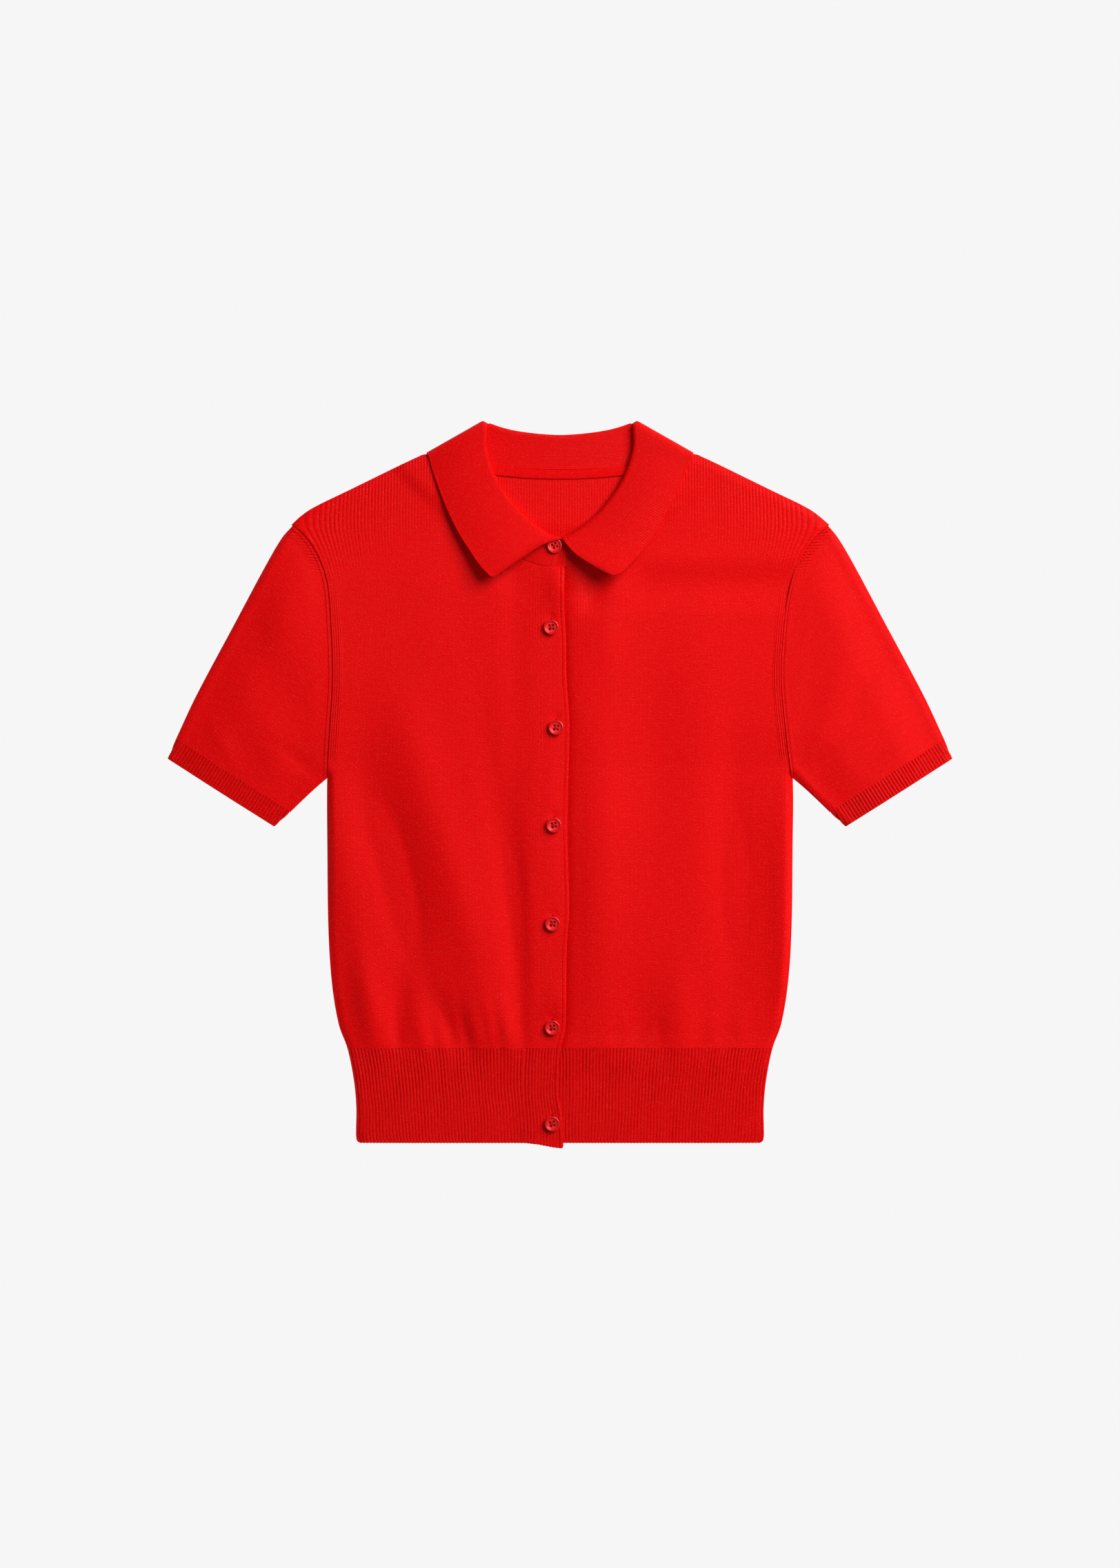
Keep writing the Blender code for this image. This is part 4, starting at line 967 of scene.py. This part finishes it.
HEM_STOPS = (30.0, 60.0, 90.0, 120.0, 143.0)    # places across the hem rib
HEM_TIP_STOPS = (-27.0, -17.0, -6.0)            # and where the right front's corner droops
HEM_TIP_REACH = 29.6
HEM_SCALLOP = 0.4         # the ribs' ends stand this much proud of the channels' ends


def rib_carve(across, strength):
    """What is cut out between round ribs."""
    wave = np.abs(np.sin(across * math.pi / HEM_PITCH))
    return HEM_CHANNEL * strength * (1 - np.minimum(1.0, wave * 1.25) ** 0.8)


def hem_rib(low, high, first, last, height, edge):
    width = abs(high[-1][0] - high[0][0])
    columns = spaced(abs(low[-1][0] - low[0][0]), RIB_STEP * 0.96)
    rows = spaced(RIB_TOP, 3.2, EDGE_STEPS + (1.6,), (0.0, 0.5, 1.0, 1.6)) / RIB_TOP
    middle = surface(patch(low, high, first, last, columns, rows), height, edge)
    x, y = middle[..., 0], middle[..., 1]
    across = columns * width / columns[-1] + high[0][0]
    across = across + 0.22 * np.sin(y / 11.0 + x / 17.0) + 0.16 * np.sin(y / 5.3 - x / 7.7)
    ribs = np.abs(np.sin(across * math.pi / HEM_PITCH))
    y -= HEM_SCALLOP * np.exp(-np.maximum(y, 0.0) / 1.5) * ribs
    uneven = 0.84 + 0.16 * np.sin(x / 9.1 + y / 13.0) * np.sin(x / 3.7 - y / 17.0)
    strength = smooth(y / 2.0 + 0.15) * (0.72 + 0.28 * ramp(y, 16.0, 44.0)) * uneven
    return shell(middle, stacked(across, y), stacked(np.maximum(y, 0.0), strength), sides="SWE",
                 carve=rib_carve(across, strength))


def hem_ribs():
    """Name and geometry of the hem rib's three pieces."""
    right, left = side_edge(-1)[0], side_edge(1)[0]
    under, placket = Path([(UNDER_EDGE, 0.0), (UNDER_EDGE, RIB_TOP)]), placket_edge()[0]
    shrink = left(0)[0] / left(1)[0]
    right_stops = [-x for x in reversed(HEM_STOPS)]
    for name, first, stops, last, height, edge in (
            ("back", right, right_stops + [0.0, *HEM_STOPS], left, height_back, None),
            ("front_left", under, [5.0, *HEM_STOPS], left, height_left, None),
            ("front_right", right, right_stops + [*HEM_TIP_STOPS], placket, height_right,
             placket)):
        drop = HEM_TIP[1] if edge else 0.0
        low = [(x if x in HEM_TIP_STOPS else x * shrink,
                drop * ramp(x, HEM_TIP_STOPS[0], HEM_TIP_REACH)) for x in stops]
        yield name, hem_rib([first(0)] + low + [last(0)],
                            [first(1)] + [(x, RIB_TOP) for x in stops] + [last(1)],
                            first, last, height, edge)


# ------------------------------------------------------------------ sleeves

TUBE_TOP = LAYER + TUBE_LIFT + WALL / 2
TUBE_RADIUS = (TUBE_TOP - WALL / 2) / 2
ARC_TURNS = np.radians(np.arange(15, 180, 15))
TUBE_STEPS = (0.0, 2.3, 3.0, 3.8, 4.8, 6.0)


def tube_ring(across):
    """One ring of a flattened tube, through the flat points from its under to its outer edge."""
    centre = WALL / 2 + TUBE_RADIUS    # distance of a fold's centre from the edge and the ground
    outward, rise = TUBE_RADIUS * np.sin(ARC_TURNS)[:, None], TUBE_RADIUS * np.cos(ARC_TURNS)
    first, last = unit(across[1] - across[0]), unit(across[-1] - across[-2])
    start, end = across[0] + first * centre, across[-1] - last * centre
    flat = np.concatenate(([start], across[1:-1], [end]))
    lift = TUBE_LIFT * (1 - smooth(edge_distance(flat[:, 0], flat[:, 1]) / (2 * LOFT_REACH)))
    level = top_layer(flat[:, 0], flat[:, 1]) + lift + WALL / 2
    return np.concatenate((np.column_stack((flat, np.full(len(flat), WALL / 2))),
                           np.column_stack((end + last * outward, centre - rise)),
                           np.column_stack((flat, level))[::-1],
                           np.column_stack((start - first * outward, centre + rise))))


def tube(near, far, under, outer, lengthwise, step):
    """A flat tube between the seam path `near` and the line `far`."""
    inner = spaced(near.length, step, TUBE_STEPS, TUBE_STEPS) / near.length
    v = inner[:, None]
    rings = []
    for u in lengthwise:
        across = (near(inner) * (1 - u) + far(inner) * u + under(u) * (1 - v) + outer(u) * v
                  - (near(0) * (1 - v) + near(1) * v) * (1 - u)
                  - (far(0) * (1 - v) + far(1) * v) * u)
        rings.append(tube_ring(across))
    return np.array(rings)


def sleeve_cloth(points, side):
    """Cloth coordinates of a sleeve, whose wales run down the arm."""
    turn = math.radians(SLEEVE_LEAN)
    x, y = points[..., 0] * side, points[..., 1]
    return stacked(x * math.cos(turn) + y * math.sin(turn),
                   y * math.cos(turn) - x * math.sin(turn))


def sleeve(side):
    seam = [(x + side * ARMHOLE_GAP, y) for x, y in armhole(side)]
    under = Path([seam[0]] + side_table(side, SLEEVE_UNDER))
    outer = Path([seam[-1]] + side_table(side, SLEEVE_OUTER))
    far = Path([under(1), outer(1)])
    length = outer.length
    rings = tube(Path(seam), far, under, outer, spaced(length, 2.6, high=(0.0, 0.5)) / length, 2.2)
    apart = distance_to(seam_line(side), np.abs(rings[..., 0]), rings[..., 1])
    cap = smooth((9.0 - apart) / 3.0) * ramp(rings[..., 1], 444.0, 12.0)
    sink = smooth((SEAM_FADE - apart) / SEAM_FADE)
    rings[..., 2] -= SEAM_SINK * sink * smooth(rings[..., 2] - 2.0)
    return shell(rings, sleeve_cloth(rings, side), stacked(np.minimum(apart, FAR), cap),
                 sides="S", closed=True)


def cuff(side):
    under, outer = Path(side_table(side, CUFF_UNDER)), Path(side_table(side, CUFF_OUTER))
    lengthwise = spaced(outer.length, 2.0, (0.0, 0.5, 1.0)) / outer.length
    rings = tube(Path([under(0), outer(0)]), Path([under(1), outer(1)]), under, outer, lengthwise,
                 RIB_STEP)
    fabric = sleeve_cloth(rings, side)
    line = [np.array(row) for row in (CUFF_UNDER[1], CUFF_OUTER[1])]
    edge = distance_to(line, np.abs(rings[..., 0]), rings[..., 1])
    strength = smooth(edge / 1.6 + 0.1)
    return shell(rings, fabric, stacked(edge, strength), sides="N", closed=True,
                 carve=rib_carve(fabric[..., 0], strength))


# ------------------------------------------------------------------ collar

STAND_COLUMNS = 4
FALL_COLUMNS = 5
ROLL_TURNS = (45, 90, 135)
COLLAR_STEP = 1.5
MEASURED_LINE = 30        # the grid line along which the cloth's length is measured
TAB_FORM = 9.0            # both distances on the stand's end pieces, beyond band and selvage
TAB_STEPS = ((0.04, (0.0, 0.005, 0.015, 0.03), (0.0, 0.004, 0.012, 0.024)),
             (0.06, (0.0, 0.01, 0.03), (0.0, 0.01, 0.03)))
TAB_LIFT = 0.35           # the stand's end pieces start on the stand, hidden under the fall
FALL_CROWN = 1.3


def collar_section(neck, stand_top, fall_top, edge, bulge):
    """Points from the neckline up the stand, round the roll and down the fall to its edge."""
    shares = np.linspace(0, 1, STAND_COLUMNS)[:, None]
    section = [neck * (1 - shares) + stand_top * shares]
    centre, half = (stand_top + fall_top) / 2, (fall_top - stand_top) / 2
    section += [[centre - half * math.cos(angle)
                 + bulge * (np.linalg.norm(half) * math.sin(angle))]
                for angle in map(math.radians, ROLL_TURNS)]
    shares = np.linspace(0, 1, FALL_COLUMNS)[:, None]
    crown = np.array((0.0, 0.0, FALL_CROWN if fall_top[2] > stand_top[2] + 1.0 else 0.0))
    section.append(fall_top * (1 - shares) + edge * shares + crown * np.sin(math.pi * shares))
    return np.concatenate(section)


def flat_corners(neck, roll, edge, levels, bulge=None):
    """Corners of a section whose stand and fall lie flat, one above the other."""
    neck, roll, edge = np.array(neck), np.array(roll), np.array(edge)
    z_neck, z_stand, z_fall, z_edge = levels
    if bulge is None:
        bulge = unit(unit(roll - neck) + unit(roll - edge))
    inner = roll - bulge * (WALL / 2 + abs(z_fall - z_stand) / 2)
    return [np.array((*neck, z_neck)), np.array((*inner, z_stand)), np.array((*inner, z_fall)),
            np.array((*edge, z_edge)), np.array((*bulge, 0.0))]


def crest_corners(degrees, side):
    """Corners beside the neck, where the collar turns from above the front to below the back."""
    angle = math.radians(degrees)
    peak, end = np.array(COLLAR_PEAK), np.array(COLLAR_EDGE)
    along = unit(end - peak)
    outward = np.array((-along[1], along[0]))
    roll_middle, neck_middle = STAND_ROLL + CREST_TURN, STAND_UNDER + CREST_TURN
    roll, inner = WALL / 2 + CREST_APART / 2, WALL / 2 + CREST_APART

    def point(run, inset, radius, middle):
        flat = peak + along * run - outward * (inset + radius * (1 - math.sin(angle)))
        return np.array((side * flat[0], flat[1], middle + radius * math.cos(angle)))

    return [point(STAND_AT_CREST, inner, CREST_TURN, neck_middle),
            point(roll, inner, CREST_TURN, roll_middle),
            point(roll, WALL / 2, CREST_TURN + CREST_APART, roll_middle),
            point(np.linalg.norm(end - peak), WALL / 2, neck_middle - FALL_UNDER, neck_middle),
            np.array((-side * along[0], -along[1], 0.0))]


def bend(fall, amount, skew):
    """Bend a section's fall in its own plane, upwards in the layout."""
    along = unit(fall[-1, :2] - fall[0, :2])
    aside = np.array((-along[1], along[0])) * np.sign(along[0])
    share = np.linspace(0, 1, len(fall))
    fall[:, :2] += amount * np.sin(math.pi * share ** skew)[:, None] * aside


def collar_half(side):
    """Sections of one half of the collar, from the centre front to the centre back."""
    table = COLLAR_FRONT_LEFT if side > 0 else COLLAR_FRONT_RIGHT
    height = height_left if side > 0 else height_right
    front_corners, back_corners = [], []
    for degrees, roll_x, roll_y, edge_x, edge_y, *levels in table:
        neck = neck_point(degrees, side, STAND_SCALE)
        front_corners.append(flat_corners(neck, (side * roll_x, roll_y), (side * edge_x, edge_y),
                                          (float(height(*neck)), *levels)))
    for neck_x, neck_y, roll_x, roll_y, edge_x, edge_y in COLLAR_BACK:
        lean = BACK_ROLL_LEAN * (roll_x / COLLAR_BACK[0][2]) ** 3
        back_corners.append(flat_corners((side * neck_x, neck_y), (side * roll_x, roll_y),
                                         (side * edge_x, edge_y),
                                         (STAND_UNDER, STAND_ROLL, FALL_UNDER, FALL_UNDER),
                                         unit(np.array((-side * lean, 1.0)))))
    crest = []
    for degrees in CREST_ANGLES:
        corners = crest_corners(degrees, side)
        share = max(0.0, (degrees - 90) / 120)
        for k in (1, 2, 4):
            corners[k] = corners[k] * (1 - share) + back_corners[0][k] * share
        crest.append(corners)
    sections = [collar_section(*corners) for corners in front_corners + crest + back_corners]
    for section, share in zip(sections, BOW_SHARES):
        bend(section[-FALL_COLUMNS:], FRONT_EDGE_BOW[side] * share, BOW_SKEW[side])
    return sections


def finer(grid, rows, columns):
    """A coarse grid read as a smooth surface, at given fractions of its lengths."""
    count = grid.shape[1]
    lines = Path(grid.reshape(len(grid), -1))(rows).reshape(len(rows), count, 3)
    crossed = lines.transpose(1, 0, 2)
    fine = Path(crossed.reshape(count, -1))(columns).reshape(len(columns), len(rows), 3)
    return fine.transpose(1, 0, 2)


def stand_end(neck, top, level, bulge=0.0):
    """A line up the stand's plain end, in front of the fall."""
    shares = np.linspace(0, 1, STAND_COLUMNS)[:, None]
    line = np.array((*neck, level)) * (1 - shares) + np.array((*top, level)) * shares
    return line + np.array((bulge, 0.0, 0.0)) * np.sin(math.pi * shares)


def collar():
    right, left = collar_half(-1), collar_half(1)
    sections = np.array(right + left[-2::-1])
    lengths = np.linalg.norm(np.diff(sections, axis=0), axis=-1).mean(axis=1)
    length = lengths.sum()
    width = np.linalg.norm(np.diff(sections, axis=1), axis=-1).sum(axis=1).mean()
    grid = finer(sections, spaced(length, COLLAR_STEP) / length, spaced(width, COLLAR_STEP) / width)
    along, _ = runs(grid[:, MEASURED_LINE:MEASURED_LINE + 1], 0)
    across, selvage = runs(grid, 1)
    front_edge = np.minimum(*runs(grid, 0))
    shells = [shell(grid, stacked(along, across), stacked(selvage, np.minimum(front_edge, FAR)),
                    kept=True)]
    over, under = float(height_right(0, 460)), float(height_left(0, 460))
    ends = ((right, [stand_end(neck_point(1, 1, STAND_SCALE), (1.6, 472.6), over, 0.6),
                     stand_end((3.2, neck_point(2, 1, STAND_SCALE)[1]), (2.9, 471.4), over, 1.6)]),
            (left, [stand_end(neck_point(5, -1, STAND_SCALE), (-6.0, 473.0), under),
                    stand_end(neck_point(11, -1, STAND_SCALE), (-16.0, 471.5), under)]))
    lift = np.array((0, 0, TAB_LIFT))
    for sections, tabs in ends:
        hidden = [section[:STAND_COLUMNS] + lift for section in sections[4:0:-1]]
        rows, columns = (spaced(1.0, *steps) for steps in TAB_STEPS)
        fine = finer(np.array(hidden + tabs), rows, columns)
        run, up = runs(fine, 0)[0], runs(fine, 1)[0]
        shells.append(shell(fine, stacked(run, up), (TAB_FORM, TAB_FORM)))
    return joined(shells)


def neck_tape():
    half = list(TAPE_MIDDLE)
    middle = Path([(-x, y) for x, y in reversed(half[1:])] + half)
    length = middle.length
    centre = middle(spaced(length, 1.0) / length)
    across = spaced(TAPE_WIDTH, 0.5) - TAPE_WIDTH / 2
    level = 2 * LAYER + TAPE_WALL / 2 + 0.25 * np.cos(across / TAPE_WIDTH * math.pi) - 0.05
    grid = stacked(centre[:, :1], centre[:, 1:] + across, level)
    along, _ = runs(grid, 0)
    return shell(grid, stacked(along, across + TAPE_WIDTH / 2),
                 stacked(TAPE_WIDTH / 2 - np.abs(across), 0.0), wall=TAPE_WALL)


# ------------------------------------------------------------------ buttons

def turned(profile, steps):
    """The rings of a solid of revolution, from a profile of radius and height."""
    angles = np.linspace(0, 2 * math.pi, steps, endpoint=False)
    return np.array([[(radius * math.cos(a), radius * math.sin(a), level) for a in angles]
                     for radius, level in profile])


def closed_mesh(name, stacks):
    """A mesh of stacks of rings; the first and the last ring of each is capped."""
    faces, start = [], 0
    for rings in stacks:
        rows, columns = rings.shape[:2]
        end = start + rows * columns
        faces += [tuple(face) for face in grid_faces(rows, columns, True, start, False).tolist()]
        faces += [tuple(range(start + columns - 1, start - 1, -1)),
                  tuple(range(end - columns, end))]
        start = end
    vertices = np.concatenate([rings.reshape(-1, 3) for rings in stacks])
    mesh = bpy.data.meshes.new(name)
    mesh.from_pydata((vertices * MM).tolist(), [], faces)
    mesh.update()
    return mesh


def cut(mesh, cutters):
    """The mesh with the cutters' meshes taken out of it."""
    body = placed(mesh.name, mesh)
    cutters = [placed(cutter.name, cutter) for cutter in cutters]
    for cutter in cutters:
        step = body.modifiers.new("cut", "BOOLEAN")
        step.operation = "DIFFERENCE"
        step.object = cutter
    graph = bpy.context.evaluated_depsgraph_get()
    result = bpy.data.meshes.new_from_object(body.evaluated_get(graph))
    result.name = mesh.name
    for obj in [body] + cutters:
        bpy.data.objects.remove(obj)
    return result


# The button from its underside round the rim to the dish. Columns: share of its radius, height
BUTTON_PROFILE = ((0.02 / BUTTON_RADIUS, 0.0), (0.72, 0.0), (0.86, 0.12), (0.95, 0.5), (1, 1.1),
                  (0.995, 1.6), (0.965, 2.05), (0.92, 2.3), (0.87, BUTTON_HEIGHT),
                  (0.81, BUTTON_HEIGHT * 0.985), (0.76, 2.2), (0.715, 1.95), (0.68, 1.72),
                  (0.645, 1.58), (0.60, 1.51), (0.5, BUTTON_DISH - 0.02),
                  (0.3, BUTTON_DISH - 0.06), (0.02 / BUTTON_RADIUS, BUTTON_DISH - 0.08))
# A hole, wider at its mouth. Columns: share of its radius, height above the dish
DRILL = ((1, -2.5), (1, -0.32), (1.12, -0.12), (1.5, 0.12), (1.6, 1.0))
STITCH_TOP = BUTTON_DISH + 0.2
# A stitch over the button. Columns: share of the way to its holes, height above or below its top
STITCH = ((-1.0, -2.6), (-1.0, -1.1), (-0.94, -0.45), (-0.6, -0.1), (0.0, 0.0), (0.6, -0.1),
          (0.94, -0.45), (1.0, -1.1), (1.0, -2.6))
STITCH_RADIUS, STITCH_SHIFT = 0.2, 0.2    # the two of a pair lie this far to either side
STITCH_REACH = (HOLE_SPACING / 2 - 0.35) * math.sqrt(2)
SHANK_CORE = ((0.02, -2.4), (1.05, -2.4), (1.05, -0.3), (1.7, -0.22), (1.7, -0.1), (0.02, -0.1))
WINDINGS, WINDING_RADIUS, WINDING_THREAD = 5, 1.15, 0.26


def button_mesh():
    rim = [(BUTTON_RADIUS * share, level) for share, level in BUTTON_PROFILE]
    hole = turned([(HOLE_RADIUS * share, BUTTON_DISH + level) for share, level in DRILL], 28)
    half = HOLE_SPACING / 2
    drills = [closed_mesh("hole", [hole + np.array((x, y, 0.0))])
              for x in (-half, half) for y in (-half, half)]
    return smoothed(cut(closed_mesh("button", [turned(rim, 96)]), drills), 38)


def strand(centre, radius, steps, across=None):
    """Rings of a round thread along a line of points."""
    along = unit(slope(centre, 0))
    aside = unit(np.cross(along if across is None else across, np.array((0.0, 0.0, 1.0))))
    aside = np.broadcast_to(aside, along.shape)
    other = np.cross(along, aside)
    angles = np.linspace(0, 2 * math.pi, steps, endpoint=False)
    return (centre[:, None] + radius * (aside[:, None] * np.cos(angles)[None, :, None]
                                        + other[:, None] * np.sin(angles)[None, :, None]))


def thread_mesh():
    """Two crossed double stitches over the button's face and a wound shank under it."""
    stacks = []
    for turn in (45, 135):
        across = np.array((math.cos(math.radians(turn)), math.sin(math.radians(turn))))
        for shift in (-STITCH_SHIFT, STITCH_SHIFT):
            aside = np.array((-across[1], across[0])) * shift
            stitch = Path([(*(across * STITCH_REACH * run + aside), STITCH_TOP + level)
                           for run, level in STITCH])(np.linspace(0, 1, 40))
            stacks.append(strand(stitch, STITCH_RADIUS, 10, stitch[-1] - stitch[0]))
    turns = np.linspace(0, 2 * math.pi * WINDINGS, 120)
    winding = np.stack((WINDING_RADIUS * np.cos(turns), WINDING_RADIUS * np.sin(turns),
                        -0.25 - 2.0 * turns / turns[-1]), -1)
    stacks += [strand(winding, WINDING_THREAD, 8), turned(SHANK_CORE, 24)]
    mesh = closed_mesh("button_thread", stacks)
    mesh.shade_smooth()
    return mesh


def slits(numbers):
    """Cutters for the slits that the shanks hold open."""
    cutters = []
    for x, y, _ in [BUTTONS[number - 1] for number in numbers]:
        rings = turned(((1.0, UNDER_CLOTH + GAP / 2), (1.0, BUTTON_CLOTH + 1.0)), 32)
        rings = (rings * np.array((SLIT_HALF_WIDTH, SLIT_HALF_LENGTH, 1.0))
                 + np.array((x, y + SLIT_RISE - MID_Y, 0.0)))
        cutters.append(closed_mesh("slit", [rings]))
    return cutters


def buttons(plastic, cotton):
    disc, thread = button_mesh(), thread_mesh()
    for number, (x, y, turn) in enumerate(BUTTONS, 1):
        place = (x * MM, (y - MID_Y) * MM, (BUTTON_CLOTH + SHANK_HEIGHT) * MM)
        for name, mesh, material, slot in ((f"button_{number}", disc, plastic, "button"),
                                           (f"button_thread_{number}", thread, cotton, "thread")):
            add_piece(name + "_detail", mesh.copy(), material, slot, name, place,
                      (0.0, 0.0, math.radians(turn)))


# ------------------------------------------------------------------ the garment

# The flat pieces. Columns: width and length in metres, area in square metres
CUTS = {"back": (0.425, 0.475, 0.160), "front_right": (0.216, 0.475, 0.078),
        "front_left": (0.229, 0.475, 0.086), "hem_rib_back": (0.334, 0.074, 0.0240),
        "hem_rib_front_right": (0.169, 0.078, 0.0122),
        "hem_rib_front_left": (0.183, 0.074, 0.0131),
        "sleeve_right": (0.390, 0.230, 0.036), "sleeve_left": (0.390, 0.230, 0.036),
        "cuff_right": (0.212, 0.017, 0.0034), "cuff_left": (0.212, 0.017, 0.0034),
        "collar": (0.450, 0.090, 0.032)}


def cloth_piece(node, geometry, material, slot="knit", cutters=()):
    vertices, faces, cloth = geometry
    mesh = mesh_from(node, (vertices - np.array((0.0, MID_Y, 0.0))) * MM, faces, cloth)
    return add_piece(node + "_cloth", cut(mesh, cutters) if cutters else mesh, material, slot, node)


def garment():
    jersey, arm, collar_rib, tape, rib = (body_knit(), sleeve_knit(), collar_knit(), tape_knit(),
                                          rib_knit())
    pieces = {"back": cloth_piece("back", back(), jersey),
              "front_right": cloth_piece("front_right", front(-1), jersey,
                                         cutters=slits(range(2, 7))),
              "front_left": cloth_piece("front_left", front(1), jersey),
              "collar": cloth_piece("collar", collar(), collar_rib)}
    for part, geometry in hem_ribs():
        node = "hem_rib_" + part
        pieces[node] = cloth_piece(node, geometry, rib, "rib",
                                   slits([7]) if part == "front_right" else ())
    for side, word in ((-1, "right"), (1, "left")):
        pieces["sleeve_" + word] = cloth_piece("sleeve_" + word, sleeve(side), arm)
        pieces["cuff_" + word] = cloth_piece("cuff_" + word, cuff(side), rib, "rib")
    binding = cloth_piece("neck_tape", neck_tape(), tape)
    for node, obj in pieces.items():
        width, length, area = CUTS[node]
    buttons(button_plastic(), thread_cotton())


# ------------------------------------------------------------------ stage

FLOOR_HALF = 4.0         # metres
FLOOR_LEVEL = -0.0002
FLOOR_GLOW = 0.922       # the floor is evenly pale
VIEW_HEIGHT = 1228.0     # millimetres that the view's long side takes in
VIEW_LEVEL = 0.004       # metres; the height at which it takes that in
LENS, SENSOR = 85.0, 36.0
KEY_PLACE = (1.66, 1.39, 1.95)
KEY_POWER = 100.0
KEY_SIZE = 1.9
FILL = 0.20


def stage():
    mesh = bpy.data.meshes.new("floor")
    corners = ((-1, -1), (1, -1), (1, 1), (-1, 1))
    mesh.from_pydata([(x * FLOOR_HALF, y * FLOOR_HALF, FLOOR_LEVEL) for x, y in corners], [],
                     [(0, 1, 2, 3)])
    pale = Surface("pale floor")
    mesh.materials.append(pale.give(Base_Color=(0.0, 0.0, 0.0), Roughness=1.0,
                                    Specular_IOR_Level=0.0, Emission_Color=(1.0, 1.0, 1.0),
                                    Emission_Strength=FLOOR_GLOW))
    placed("floor", mesh)


def light():
    lamp = bpy.data.lights.new("key", "AREA")
    lamp.shape = "SQUARE"
    lamp.size = KEY_SIZE
    lamp.energy = KEY_POWER
    placed("key", lamp, KEY_PLACE, (-Vector(KEY_PLACE)).to_track_quat("-Z", "Y").to_euler())
    world = bpy.data.worlds.new("studio")
    bpy.context.scene.world = world
    world.use_nodes = True
    background = world.node_tree.nodes["Background"]
    background.inputs["Color"].default_value = (1.0, 1.0, 1.0, 1.0)
    background.inputs["Strength"].default_value = FILL


def camera():
    data = bpy.data.cameras.new("camera")
    data.lens, data.sensor_width = LENS, SENSOR
    scene = bpy.context.scene
    scene.camera = placed("camera", data, (0.0, 0.0, VIEW_HEIGHT * MM * LENS / SENSOR + VIEW_LEVEL))
    scene.view_settings.view_transform = "Standard"


garment()
stage()
light()
camera()

bpy.context.view_layer.update()
